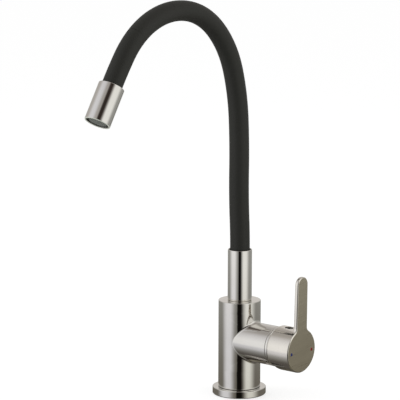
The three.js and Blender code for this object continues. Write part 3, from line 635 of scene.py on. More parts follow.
def makeNut(shape):
    # a hexagon whose corners are turned off at 30 degrees on both faces
    low, high = nodeBox("stud_nut")
    centreX = (low.x + high.x) / 2
    flat = (high.x - low.x) / 2
    bore, chamfer = nodeBox("mounting_stud")[1].y + shape["boreGap"], shape["boreChamfer"]
    facing = flat * shape["faceShare"]
    bm = bmesh.new()
    rows = []
    for end, way in ((low.z, 1), (high.z, -1)):
        outer, corner, inner, mouth = [], [], [], []
        for side in range(shape["nutSides"]):
            angle = 2 * math.pi * side / shape["nutSides"]
            offset = (angle + math.pi / 6) % (math.pi / 3) - math.pi / 6
            reach = flat / math.cos(offset)
            drop = shape["cornerDrop"] + (reach - facing) * math.tan(math.radians(shape["cornerTurn"]))
            for ring, out, height in ((outer, reach, end + way * drop), (corner, facing, end),
                                      (mouth, bore + chamfer, end), (inner, bore, end + way * chamfer)):
                ring.append(bm.verts.new(roundPlace(out, angle, height, centreX)))
        rows.append([outer, corner, mouth, inner])
    loops = list(reversed(rows[0])) + rows[1]
    for index, first in enumerate(loops):
        joinRings(bm, first, loops[(index + 1) % len(loops)])
    return finishMesh("studNut", bm, "turnedBrass", "stud_nut", ["stud_nut"], 25)


makeStud(fixingShape)
makeNut(fixingShape)
print("deck fixing made")


# lever: hub and blade in one shell, as (out, across, up) from the lift pivot

leverShape = {
    "rear": 8.4, "front": 34.3, "plate": 4.1, "hubRadius": 21.65, "hubBore": 19.6, "faceLean": 1.0,
    "rise": 73.7, "rootHalfWidth": 8.3, "tipHalfWidth": 7.8, "fillet": 5.5,
    "frontEdge": 1.0, "rearEdge": 0.9, "rimEdge": 0.5, "reliefDrop": 9.0, "reliefAngle": 30.0,
    "crownRearDrop": 0.2, "crownFrontDrop": 1.6, "brushedFrom": 0.95, "tipFrom": 82.0,
    "holeReach": 18.6, "holeRadius": 4.2, "holeFloor": 17.1,
    "dotSpread": 15.6, "dotDrop": 0.8, "dotRadius": 1.6, "dotRise": 0.12,
}
dotLooks = {
    "coldDot": {"side": -1, "finish": "blueEnamel", "slot": "blue_enamel", "node": "cold_mark"},
    "hotDot": {"side": 1, "finish": "redEnamel", "slot": "red_enamel", "node": "hot_mark"},
}
leverFrame = Matrix.Translation((pivotReach, 0, branchAxis))


def arcPoints(centre, radius, first, last, steps):
    return [(centre[0] + radius * math.cos(first + (last - first) * i / steps),
             centre[1] + radius * math.sin(first + (last - first) * i / steps)) for i in range(steps + 1)]


def leverOutline(shape):
    # (across, up) points, counter-clockwise seen from the front, and the two fillet angles
    hub, fillet = shape["hubRadius"], shape["fillet"]
    across = shape["rootHalfWidth"] + fillet
    up = math.sqrt((hub + fillet) ** 2 - across ** 2)
    lean = math.atan2(up, across)
    tip = shape["rise"] - shape["tipHalfWidth"]
    blade = arcPoints((across, up), fillet, lean + math.pi, math.pi, 14)
    length = math.dist(blade[-1], (shape["tipHalfWidth"], tip))
    parts = math.ceil(length / 3)
    for part in range(1, parts):
        share = part / parts
        blade.append((blade[14][0] + (shape["tipHalfWidth"] - blade[14][0]) * share,
                      blade[14][1] + (tip - blade[14][1]) * share))
    right = list(blade)
    tipArc = arcPoints((0, tip), shape["tipHalfWidth"], 0, math.pi, 40)
    left = [(-x, y) for x, y in reversed(right)]
    disc = arcPoints((0, 0), hub, math.pi - lean, 2 * math.pi + lean, 150)[1:-1]
    return right + tipArc + left, disc, lean


def insetLoop(loop, distances):
    # moves each point of a closed loop inwards along the mean of its two side normals
    result = []
    count = len(loop)
    for index, (point, distance) in enumerate(zip(loop, distances)):
        before, after = Vector(loop[index - 1]), Vector(loop[(index + 1) % count])
        here = Vector(point)
        first = (here - before).normalized()
        second = (after - here).normalized()
        normal = Vector((-(first.y + second.y), first.x + second.x)).normalized()
        lean = max(0.3, normal.dot(Vector((-first.y, first.x))))
        result.append(tuple(here + normal * distance / lean))
    return result


def makeLever(shape):
    bm = bmesh.new()
    blade, disc, lean = leverOutline(shape)
    loop = blade + disc
    bladeCount = len(blade)
    front, plateRear = shape["front"], shape["front"] - shape["plate"]

    def ringOf(points, out):
        return [bm.verts.new((out, y, z)) for y, z in points]

    edge = shape["frontEdge"]
    rings = []
    # the front edge is a chamfer that runs out softly on both sides
    chamfer = [(1.0, 0.0), (0.86, 0.03), (0.74, 0.12), (0.12, 0.74), (0.03, 0.86), (0.0, 1.0)]
    steps = [(edge + flatHold, 0)] + [(edge * a, edge * b) for a, b in chamfer] + [(0, edge + flatHold)]
    for inset, depth in steps:
        rings.append(ringOf(insetLoop(loop, [inset] * len(loop)), front - depth))
    bm.faces.new(rings[0])
    for first, second in zip(rings, rings[1:]):
        joinRings(bm, second, first)

    # side wall down to the plate's rear
    rearEdge = shape["rearEdge"]
    bladeRing = ringOf(loop, plateRear + rearEdge + flatHold)
    joinRings(bm, bladeRing, rings[-1])

    # rounded rear edge of the blade; towards the hub it runs out into the wall
    previous = bladeRing
    reaches = [min(rearEdge, 0.6 * max(0.0, math.hypot(*point) - shape["hubRadius"])) for point in loop]
    for step in range(1, 6):
        angle = math.pi / 2 * step / 5
        inset = insetLoop(loop, [reach * (1 - math.cos(angle)) for reach in reaches])
        ring = ringOf(inset, plateRear + rearEdge * (1 - math.sin(angle)))
        joinRings(bm, ring, previous)
        previous = ring
    rearRing = previous

    # top arc of the hub between the two fillets closes the circle behind the blade
    topArc = arcPoints((0, 0), shape["hubRadius"], math.pi - lean, lean, 44)[1:-1]
    topRing = ringOf(topArc, plateRear)
    bladeRear = rearRing[:bladeCount] + topRing
    bm.faces.new(list(reversed(bladeRear)))

    # hub wall from the plate to its rear rim, then the bore
    circle = [rearRing[bladeCount - 1]] + rearRing[bladeCount:] + [rearRing[0]] + list(reversed(topRing))
    angles = [math.atan2(vert.co.z, vert.co.y) for vert in circle]
    rim = roundedProfile([
        (shape["hubRadius"], plateRear, 0), (shape["hubRadius"], shape["rear"], shape["rimEdge"]),
        (shape["hubBore"], shape["rear"], 0.2), (shape["hubBore"], plateRear, 0),
    ])[1:]
    rim = splitLong([(shape["hubRadius"], plateRear)] + rim, 4.0)[1:]
    rim = [point for point in rim if point[0] <= shape["hubRadius"] + alike]
    stop = next(index for index, (radius, out) in enumerate(rim)
                if abs(radius - shape["hubBore"]) < alike and abs(out - plateRear) < alike)
    previous = circle
    for radius, out in rim[:stop + 1]:
        ring = [bm.verts.new((out, radius * math.cos(a), radius * math.sin(a))) for a in angles]
        joinRings(bm, ring, previous)
        previous = ring
    bm.faces.new(previous)

    # the face and the blade lean outward as they rise
    slope = math.tan(math.radians(shape["faceLean"]))
    for vert in bm.verts:
        if vert.co.x > (shape["rear"] + front) / 2:
            vert.co.x += vert.co.z * slope
    return bm


def meshObject(name, bm, place):
    bmesh.ops.recalc_face_normals(bm, faces=bm.faces)
    bmesh.ops.transform(bm, matrix=Matrix.Diagonal((mm, mm, mm, 1)) @ place, verts=bm.verts)
    return linkMesh(name, bm)


def cutWith(piece, cutter, operation):
    # one exact boolean, applied, and its cutter thrown away
    modifier = piece.modifiers.new("cut", "BOOLEAN")
    modifier.object = cutter
    modifier.operation = operation
    modifier.solver = "EXACT"
    result = evaluatedMesh(piece)
    piece.modifiers.clear()
    piece.data = result
    bpy.data.objects.remove(cutter)


def sidePrism(outline, halfWidth):
    # an (out, up) outline drawn out across the lever
    bm = bmesh.new()
    left = [bm.verts.new((out, -halfWidth, up)) for out, up in outline]
    right = [bm.verts.new((out, halfWidth, up)) for out, up in outline]
    bm.faces.new(left)
    bm.faces.new(list(reversed(right)))
    for index in range(len(outline)):
        following = (index + 1) % len(outline)
        bm.faces.new((left[following], left[index], right[index], right[following]))
    return bm


def makeLeverPiece(shape):
    lever = meshObject("leverHandle", makeLever(shape), leverFrame)
    bpy.context.view_layer.update()
    hub, rear, front = shape["hubRadius"], shape["rear"], shape["front"]
    back = front - shape["plate"] / 2
    plateRear = front - shape["plate"]
    # the crown is planed off, deeper towards the blade
    crown = sidePrism([(rear - 2, hub + 6), (plateRear, hub + 6), (plateRear, hub - shape["crownFrontDrop"]),
                       (rear, hub - shape["crownRearDrop"]), (rear - 2, hub - shape["crownRearDrop"])], hub)
    cutWith(lever, meshObject("crownCut", crown, leverFrame), "DIFFERENCE")
    # the rear rim slopes away below, to clear the trim ring when the lever lifts
    slope = math.tan(math.radians(shape["reliefAngle"]))
    low = -hub - 2
    relief = sidePrism([(rear - 1, -shape["reliefDrop"] + 1 / slope), (rear - 1, low),
                        (rear + (-low - shape["reliefDrop"]) * slope, low)], hub + 2)
    cutWith(lever, meshObject("liftRelief", relief, leverFrame), "DIFFERENCE")
    bm = bmesh.new()
    floor, radius = shape["holeFloor"], shape["holeRadius"]
    holeFrame = Matrix.Translation((shape["holeReach"], 0, 0))
    revolve(bm, [(0, floor), (radius, floor), (radius, hub + 4), (0, hub + 4)], 48, holeFrame)
    cutWith(lever, meshObject("screwHole", bm, leverFrame), "DIFFERENCE")
    # the collar in the photo shows no image of the blade, so its upper part stays out of reflections
    tip = splitOff(lever, "leverTip", shape["tipFrom"])
    tip.visible_glossy = False
    for piece in (lever, tip):
        dressLever(piece, shape, pivotReach + back)
    return lever


def splitOff(piece, name, height):
    # parts a closed mesh at a level in mm; both sides are closed again
    halves = []
    for upper in (False, True):
        bm = bmesh.new()
        bm.from_mesh(piece.data)
        everything = bm.verts[:] + bm.edges[:] + bm.faces[:]
        cut = bmesh.ops.bisect_plane(bm, geom=everything, plane_co=(0, 0, height * mm), plane_no=(0, 0, 1),
                                     clear_inner=upper, clear_outer=not upper)
        rim = [item for item in cut["geom_cut"] if isinstance(item, bmesh.types.BMEdge)]
        bmesh.ops.contextual_create(bm, geom=rim)
        bmesh.ops.recalc_face_normals(bm, faces=bm.faces)
        halves.append(bm)
    bpy.context.view_layer.update()
    other = bpy.data.objects.new(name, bpy.data.meshes.new(name))
    scene.collection.objects.link(other)
    for bm, holder in zip(halves, (piece, other)):
        bm.to_mesh(holder.data)
        bm.free()
    return other


def dressLever(piece, shape, faceFrom):
    for face in piece.data.polygons:
        face.use_smooth = True
    piece.data.set_sharp_from_angle(angle=math.radians(32))
    # large flats keep their own normals, so that a soft crease turns only beside them
    modifier = piece.modifiers.new("flats", "WEIGHTED_NORMAL")
    modifier.keep_sharp = True
    piece.data = evaluatedMesh(piece)
    piece.modifiers.clear()
    piece.data.materials.clear()
    piece.data.materials.append(materials["satinNickel"])
    piece.data.materials.append(materials["brushedNickel"])
    outward = Matrix.Rotation(math.radians(-shape["faceLean"]), 3, "Y") @ Vector((1, 0, 0))
    for face in piece.data.polygons:
        if face.normal.dot(outward) > shape["brushedFrom"] and face.center.x > faceFrom * mm:
            face.material_index = 1
    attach(piece, "lever")
    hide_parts("lever_handle")


leverPiece = makeLeverPiece(leverShape)
for dotName, dotLook in dotLooks.items():
    dotPlace = alongBranch @ Matrix.Translation(
        (leverShape["dotDrop"], dotLook["side"] * leverShape["dotSpread"], pivotReach + leverShape["front"]))
    dot, rise = leverShape["dotRadius"], leverShape["dotRise"]
    turnedPiece(dotName, [
        (0, -0.4, 0), (dot, -0.4, 0), (dot, rise * 0.3, 0.1), (dot * 0.6, rise * 0.85, 0.3), (0, rise, 0),
    ], dotLook["finish"], "lever", [dotLook["node"]], place=dotPlace, sides=32, steps=3)
print("lever made:", len(leverPiece.data.polygons), "faces")


# nozzle: a plain sleeve with a rolled mouth, hung on the hose's last link

nozzleY, nozzleZ, nozzleTurn = linkStarts[-1]
nozzleFrame = Matrix.Translation((0, nozzleY, nozzleZ)) @ Matrix.Rotation(nozzleTurn, 4, "X")
nozzleBody = "hose_link_9"
mouthShape = {
    "length": 37.7, "bore": 10.9, "radius": 12.5, "lipDepth": 0.9,
    "rearEdge": 0.5, "boreRearEdge": 0.3, "frontEdge": 0.6, "boreFrontEdge": 0.5,
    "housingBore": 9.3, "housingRadius": 10.6, "housingRear": 26.0, "housingFront": 36.5,
    "screenPitch": 1.25, "screenWall": 0.4, "screenDepth": 0.8, "screenReach": 8.5, "screenRear": 35.9,
}
sleeve = turnedPiece("nozzleSleeve", [
    (mouthShape["bore"], 0, mouthShape["boreRearEdge"]),
    (mouthShape["radius"], 0, mouthShape["rearEdge"]),
    (mouthShape["radius"], mouthShape["length"], mouthShape["frontEdge"]),
    (mouthShape["bore"], mouthShape["length"], mouthShape["boreFrontEdge"]),
], "polishedChrome", nozzleBody, ["nozzle_sleeve"], place=nozzleFrame)


def dressLip(piece, place, shape):
    # the faces round the mouth take the second finish, whose pale colour is a painted reflection
    piece.data.materials.append(materials["paintedReflectionLip"])
    back = (Matrix.Diagonal((mm, mm, mm, 1)) @ place).inverted()
    axis = place.to_3x3() @ Vector((0, 0, 1))
    for face in piece.data.polygons:
        if (back @ face.center).z > shape["length"] - shape["lipDepth"] and face.normal.dot(axis) > 0.3:
            face.material_index = 1


dressLip(sleeve, nozzleFrame, mouthShape)
# the housing's near-black colour is painted shade for the ring set back inside the mouth
turnedPiece("aeratorHousing", [
    (mouthShape["housingBore"], mouthShape["housingRear"], 0),
    (mouthShape["housingRadius"], mouthShape["housingRear"], 0.2),
    (mouthShape["housingRadius"], mouthShape["housingFront"], 0.3),
    (mouthShape["housingBore"], mouthShape["housingFront"], 0.2),
], "paintedShadeAcetal", nozzleBody, ["aerator_housing"], place=nozzleFrame, sides=96)


def screenTree():
    # hexagonal wire cells on staggered rows, as far out as the reach, over a thin backing disc
    tree = bpy.data.node_groups.new("honeycombScreen", "GeometryNodeTree")
    interface = tree.interface
    interface.new_socket("Geometry", in_out="INPUT", socket_type="NodeSocketGeometry")
    for name in ("Pitch", "Wall", "Depth", "Reach"):
        interface.new_socket(name, in_out="INPUT", socket_type="NodeSocketFloat")
    interface.new_socket("Material", in_out="INPUT", socket_type="NodeSocketMaterial")
    interface.new_socket("Geometry", in_out="OUTPUT", socket_type="NodeSocketGeometry")
    given = addNode(tree, "NodeGroupInput").outputs
    cells = 20  # along and across, more than the reach needs
    rowPitch = addNode(tree, "ShaderNodeMath", {
        0: given["Pitch"], 1: math.sqrt(3) / 2,
    }, operation="MULTIPLY").outputs[0]
    wide = addNode(tree, "ShaderNodeMath", {0: given["Pitch"], 1: cells}, operation="MULTIPLY").outputs[0]
    high = addNode(tree, "ShaderNodeMath", {0: rowPitch, 1: cells}, operation="MULTIPLY").outputs[0]
    grid = addNode(tree, "GeometryNodeMeshGrid", {
        "Size X": wide, "Size Y": high, "Vertices X": cells + 1, "Vertices Y": cells + 1,
    })
    place = addNode(tree, "GeometryNodeInputPosition").outputs["Position"]
    along = addNode(tree, "ShaderNodeSeparateXYZ", {0: place}).outputs["Y"]
    row = addNode(tree, "ShaderNodeMath", {0: along, 1: rowPitch}, operation="DIVIDE").outputs[0]
    row = addNode(tree, "ShaderNodeMath", {0: row}, operation="ROUND").outputs[0]
    odd = addNode(tree, "ShaderNodeMath", {0: row, 1: 2.0}, operation="FLOORED_MODULO").outputs[0]
    half = addNode(tree, "ShaderNodeMath", {0: given["Pitch"], 1: 0.5}, operation="MULTIPLY").outputs[0]
    aside = addNode(tree, "ShaderNodeMath", {0: odd, 1: half}, operation="MULTIPLY").outputs[0]
    shift = addNode(tree, "ShaderNodeCombineXYZ", {"X": aside}).outputs["Vector"]
    staggered = addNode(tree, "GeometryNodeSetPosition", {
        "Geometry": grid.outputs["Mesh"], "Offset": shift,
    }).outputs["Geometry"]
    out = addNode(tree, "ShaderNodeVectorMath", {0: place}, operation="LENGTH").outputs["Value"]
    beyond = addNode(tree, "FunctionNodeCompare", {
        "A": out, "B": given["Reach"],
    }, data_type="FLOAT", operation="GREATER_THAN")
    kept = addNode(tree, "GeometryNodeDeleteGeometry", {
        "Geometry": staggered, "Selection": beyond.outputs["Result"],
    })
    cellRadius = addNode(tree, "ShaderNodeMath", {
        0: given["Pitch"], 1: 1 / math.sqrt(3),
    }, operation="MULTIPLY").outputs[0]
    inset = addNode(tree, "ShaderNodeMath", {
        0: given["Wall"], 1: -0.5, 2: cellRadius,
    }, operation="MULTIPLY_ADD").outputs[0]
    ring = addNode(tree, "GeometryNodeCurvePrimitiveCircle", {
        "Resolution": 6, "Radius": inset,
    }).outputs["Curve"]
    section = addNode(tree, "GeometryNodeCurvePrimitiveQuadrilateral", {
        "Width": given["Wall"], "Height": given["Depth"],
    }).outputs["Curve"]
    cell = addNode(tree, "GeometryNodeCurveToMesh", {
        "Curve": ring, "Profile Curve": section,
    }).outputs["Mesh"]
    turn = addNode(tree, "GeometryNodeInstanceOnPoints", {
        "Points": kept.outputs["Geometry"], "Instance": cell, "Rotation": (0, 0, math.radians(30)),
    }).outputs["Instances"]
    real = addNode(tree, "GeometryNodeRealizeInstances", {"Geometry": turn}).outputs["Geometry"]
    dressed = addNode(tree, "GeometryNodeSetMaterial", {"Geometry": real, "Material": given["Material"]})
    addNode(tree, "NodeGroupOutput", {"Geometry": dressed.outputs["Geometry"]})
    return tree


def growMesh(tree, mesh, values):
    # runs a tree on a carrier mesh and hands back plain mesh data
    carrier = bpy.data.objects.new("carrier", mesh)
    scene.collection.objects.link(carrier)
    modifier = carrier.modifiers.new("grow", "NODES")
    modifier.node_group = tree
    sockets = {item.name: item.identifier for item in tree.interface.items_tree if item.in_out == "INPUT"}
    for name, value in values.items():
        modifier[sockets[name]] = value
    result = evaluatedMesh(carrier)
    bpy.data.objects.remove(carrier)
    return result


def makeScreen(shape):
    cells = growMesh(screenTree(), bpy.data.meshes.new("carrier"), {
        "Pitch": shape["screenPitch"], "Wall": shape["screenWall"], "Depth": shape["screenDepth"],
        "Reach": shape["screenReach"], "Material": materials["greyAcetal"],
    })
    bm = bmesh.new()
    bm.from_mesh(cells)
    middle = nozzleFrame @ Matrix.Translation((0, 0, shape["screenRear"] + shape["screenDepth"] / 2))
    bmesh.ops.transform(bm, matrix=middle, verts=bm.verts)
    rear, reach = shape["screenRear"] - 0.3, shape["housingBore"] - 0.05
    revolve(bm, [(0, rear), (reach, rear), (reach, rear + 0.25), (0, rear + 0.25)], 96, nozzleFrame)
    return finishMesh("aeratorScreen", bm, "greyAcetal", nozzleBody, ["aerator_screen"])


makeScreen(mouthShape)
print("nozzle made")


# hose: one Geometry Nodes tree sweeps a round profile along a stretch of the centre line

hoseShape = {
    "radius": 9.8, "bore": 7.7, "roundSides": 48, "ringPitch": 1.6, "ribPitch": 1.0, "ribDepth": 0.0,
    "startRun": -24.0, "endRun": 35.0,
}
coreShape = {
    "radius": 7.3, "bore": 5.7, "roundSides": 24, "ringPitch": 0.8, "ribPitch": 4.0, "ribDepth": 0.55,
    "startRun": -40.3, "endRun": 46.7,
}
halfBend = 18.0  # a reach to both sides of each hinge, in mm


def sweepTree():
    tree = bpy.data.node_groups.new("sweptTube", "GeometryNodeTree")
    interface = tree.interface
    interface.new_socket("Geometry", in_out="INPUT", socket_type="NodeSocketGeometry")
    interface.new_socket("Radius", in_out="INPUT", socket_type="NodeSocketFloat")
    interface.new_socket("Rib Depth", in_out="INPUT", socket_type="NodeSocketFloat")
    interface.new_socket("Rib Pitch", in_out="INPUT", socket_type="NodeSocketFloat")
    interface.new_socket("Round Sides", in_out="INPUT", socket_type="NodeSocketInt")
    interface.new_socket("Material", in_out="INPUT", socket_type="NodeSocketMaterial")
    interface.new_socket("Geometry", in_out="OUTPUT", socket_type="NodeSocketGeometry")
    given = addNode(tree, "NodeGroupInput").outputs
    line = addNode(tree, "GeometryNodeMeshToCurve", {"Mesh": given["Geometry"]}).outputs["Curve"]
    along = addNode(tree, "GeometryNodeSplineParameter").outputs["Length"]
    phase = addNode(tree, "ShaderNodeMath", {
        0: along, 1: given["Rib Pitch"],
    }, operation="DIVIDE").outputs[0]
    turns = addNode(tree, "ShaderNodeMath", {0: phase, 1: 2 * math.pi}, operation="MULTIPLY").outputs[0]
    wave = addNode(tree, "ShaderNodeMath", {0: turns}, operation="COSINE").outputs[0]
    lower = addNode(tree, "ShaderNodeMath", {0: wave, 1: 1.0}, operation="SUBTRACT").outputs[0]
    depth = addNode(tree, "ShaderNodeMath", {
        0: lower, 1: given["Rib Depth"],
    }, operation="MULTIPLY").outputs[0]
    half = addNode(tree, "ShaderNodeMath", {0: depth, 1: 0.5}, operation="MULTIPLY").outputs[0]
    radius = addNode(tree, "ShaderNodeMath", {0: given["Radius"], 1: half}, operation="ADD").outputs[0]
    profile = addNode(tree, "GeometryNodeCurvePrimitiveCircle",
                      {"Resolution": given["Round Sides"], "Radius": 1.0}).outputs["Curve"]
    tube = addNode(tree, "GeometryNodeCurveToMesh", {
        "Curve": line, "Profile Curve": profile, "Scale": radius,
    })
    smooth = addNode(tree, "GeometryNodeSetShadeSmooth", {
        "Geometry": tube.outputs["Mesh"],
    }).outputs["Geometry"]
    real = addNode(tree, "GeometryNodeRealizeInstances", {"Geometry": smooth}).outputs["Geometry"]
    dressed = addNode(tree, "GeometryNodeSetMaterial", {"Geometry": real, "Material": given["Material"]})
    addNode(tree, "NodeGroupOutput", {"Geometry": dressed.outputs["Geometry"]})
    return tree


tubeTree = sweepTree()


def sweep(points, values):
    # runs the tree on a line of points and hands back a plain mesh in metres
    mesh = bpy.data.meshes.new("route")
    mesh.from_pydata([tuple(p * mm) for p in points], [(i, i + 1) for i in range(len(points) - 1)], [])
    return growMesh(tubeTree, mesh, values)


def stretchPoints(fromLink, fromRun, toLink, toRun, pitch):
    points = []
    for link in range(fromLink, toLink + 1):
        first = fromRun if link == fromLink else 0.0
        last = toRun if link == toLink else hosePath["linkLengths"][link]
        parts = max(1, round((last - first) / pitch))
        skip = 0 if link == fromLink else 1
        points += [hosePoint(link, first + (last - first) * i / parts) for i in range(skip, parts + 1)]
    return points


def tubeWall(points, shape, material, openStart, openEnd):
    # outer and inner skin of a tube; an end that meets the next stretch stays open
    common = {"Rib Depth": shape["ribDepth"] * mm, "Rib Pitch": shape["ribPitch"] * mm,
              "Round Sides": shape["roundSides"], "Material": materials[material]}
    outer = sweep(points, {"Radius": shape["radius"] * mm, **common})
    inner = sweep(points, {"Radius": shape["bore"] * mm, **common})
    bm = bmesh.new()
    bm.from_mesh(outer)
    outerCount = len(bm.verts)
    bmesh.ops.recalc_face_normals(bm, faces=bm.faces)
    skin = bmesh.new()
    skin.from_mesh(inner)
    bmesh.ops.recalc_face_normals(skin, faces=skin.faces)
    bmesh.ops.reverse_faces(skin, faces=skin.faces)
    skin.to_mesh(inner)
    skin.free()
    bm.from_mesh(inner)
    bm.verts.ensure_lookup_table()
    sides = shape["roundSides"]

    def closeEnd(offset):
        within = outerCount + offset
        joinRings(bm, bm.verts[offset:offset + sides], bm.verts[within:within + sides])

    if not openStart:
        closeEnd(0)
    if not openEnd:
        closeEnd(outerCount - sides)
    return bm


def outwardCheck(bm):
    # turns a tube's faces so that the outer skin faces away from the centre line
    bm.faces.ensure_lookup_table()
    sample = max(bm.faces, key=lambda f: 0 if abs(f.normal.x) < 0.5 else abs(f.calc_center_median().x))
    if sample.normal.x * sample.calc_center_median().x < 0:
        bmesh.ops.reverse_faces(bm, faces=bm.faces)


def makeTubePieces(prefix, shape, material, nodePrefix):
    # eight stretches from mid-link to mid-link; each runs across the one hinge inside it
    lengths = hosePath["linkLengths"]
    last = len(lengths) - 1
    for joint in range(last):
        first = joint == 0
        final = joint == last - 1
        fromRun = shape["startRun"] if first else lengths[joint] / 2
        toRun = shape["endRun"] if final else lengths[joint + 1] / 2
        points = stretchPoints(joint, fromRun, joint + 1, toRun, shape["ringPitch"])
        bm = tubeWall(points, shape, material, not first, not final)
        outwardCheck(bm)
        piece = linkMesh(f"{prefix}{joint + 1}", bm)
        piece.data.set_sharp_from_angle(angle=math.radians(50))
        piece.data.materials.clear()
        piece.data.materials.append(materials[material])
        start = hosePoint(joint, lengths[joint] - min(halfBend, lengths[joint] / 2)) * mm
        end = hosePoint(joint + 1, min(halfBend, lengths[joint + 1] / 2)) * mm
        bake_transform(piece)
        nodes = [f"{nodePrefix}_{joint + 1}"] + ([f"{nodePrefix}_{joint + 2}"] if final else [])
        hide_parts(*nodes)


makeTubePieces("hoseSleeve", hoseShape, "blackSilicone", "hose_sleeve")
makeTubePieces("hoseCore", coreShape, "stainlessSteel", "hose_core")
print("hose made")


# floor, world, light tent and lamps

studio = {
    "camera": {
        "azimuth": 39.768, "distance": 2326.5, "height": 603.4, "pitch": 9.955, "roll": 0.158, "yaw": 0.977,
        "focalPixels": 2395.6, "pictureWidth": 400,
    },
    "floorHalfSize": 6.0, "floorLevel": -0.0004, "floorTone": (0.90, 0.92), "floorGlow": 0.70,
    "tentRadius": 920.0, "tentLevel": 0.06, "tentRise": 60.0,
    "worldLevel": 0.80, "lampTarget": (0, -0.05, 0.2),
}
lamps = {
    "leftSoftbox": {
        "azimuth": -40, "elevation": 30, "distance": 1.6, "size": 1.0, "watts": 6.0, "tint": "#fdfdff",
    },
    "rightSoftbox": {
        "azimuth": 110, "elevation": 35, "distance": 1.6, "size": 1.0, "watts": 5.0, "tint": "#fffaf2",
    },
}


def placeCamera(view):
    data = bpy.data.cameras.new("photoCamera")
    data.sensor_fit = "HORIZONTAL"
    data.sensor_width = 36.0
    data.lens = view["focalPixels"] / view["pictureWidth"] * data.sensor_width
    data.clip_end = 50.0
    camera = bpy.data.objects.new("photoCamera", data)
    azimuth, pitch, roll = (math.radians(view[k]) for k in ("azimuth", "pitch", "roll"))
    heading = azimuth + math.radians(view["yaw"])
    flat = math.cos(pitch)
    back = Vector((math.sin(heading) * flat, -math.cos(heading) * flat, math.sin(pitch)))
    right = Vector((math.cos(heading), math.sin(heading), 0))
    up = back.cross(right)
    turnedRight = right * math.cos(roll) + up * math.sin(roll)
    turnedUp = up * math.cos(roll) - right * math.sin(roll)
    axes = Matrix((turnedRight, turnedUp, back)).transposed().to_4x4()
    distance = view["distance"] * mm
    place = Vector((distance * math.sin(azimuth), -distance * math.cos(azimuth), view["height"] * mm))
    camera.matrix_world = Matrix.Translation(place) @ axes
    scene.collection.objects.link(camera)
    scene.camera = camera


placeCamera(studio["camera"])


def makeFloor():
    # white deck: its own colour lifts it to white for the camera, and the shadow stays
    material, tree = newMaterial("whiteDeckLaminate")
    path = addNode(tree, "ShaderNodeLightPath").outputs
    place = addNode(tree, "ShaderNodeTexCoord").outputs["Object"]
    speckle = addNode(tree, "ShaderNodeTexNoise", {"Vector": place, "Scale": 400.0}).outputs["Fac"]
    tone = addNode(tree, "ShaderNodeMapRange", {
        "Value": speckle, "To Min": studio["floorTone"][0], "To Max": studio["floorTone"][1],
    }).outputs["Result"]
    share = addNode(tree, "ShaderNodeMath", {
        0: path["Is Camera Ray"], 1: -0.6, 2: 1.0,
    }, operation="MULTIPLY_ADD").outputs[0]
    tone = addNode(tree, "ShaderNodeMath", {0: tone, 1: share}, operation="MULTIPLY").outputs[0]
    board = addNode(tree, "ShaderNodeBsdfDiffuse", {"Color": tone}).outputs["BSDF"]
    lift = addNode(tree, "ShaderNodeMath", {
        0: path["Is Camera Ray"], 1: studio["floorGlow"],
    }, operation="MULTIPLY").outputs[0]
    glow = addNode(tree, "ShaderNodeEmission", {
        "Color": (1, 1, 1, 1), "Strength": lift,
    }).outputs["Emission"]
    both = addNode(tree, "ShaderNodeAddShader", {0: board, 1: glow}).outputs["Shader"]
    addNode(tree, "ShaderNodeOutputMaterial", {"Surface": both})
    bm = bmesh.new()
    bmesh.ops.create_grid(bm, x_segments=1, y_segments=1, size=studio["floorHalfSize"])
    floor = linkMesh("deck", bm)
    floor.location.z = studio["floorLevel"]
    floor.data.materials.append(material)
    floor.visible_glossy = False


def makeWorld():
    world = bpy.data.worlds.new("whiteStudio")
    scene.world = world
    world.use_nodes = True
    tree = world.node_tree
    tree.nodes.clear()
    path = addNode(tree, "ShaderNodeLightPath").outputs
    seen = addNode(tree, "ShaderNodeMath", {
        0: path["Is Camera Ray"], 1: path["Is Glossy Ray"],
    }, operation="MAXIMUM").outputs[0]
    seen = addNode(tree, "ShaderNodeMath", {
        0: seen, 1: path["Is Transmission Ray"],
    }, operation="MAXIMUM").outputs[0]
    level = addNode(tree, "ShaderNodeMapRange", {
        "Value": seen, "To Min": studio["worldLevel"], "To Max": 1.0,
    }).outputs["Result"]
    sky = addNode(tree, "ShaderNodeBackground", {
        "Color": (1, 1, 1, 1), "Strength": level,
    }).outputs["Background"]
    addNode(tree, "ShaderNodeOutputWorld", {"Surface": sky})


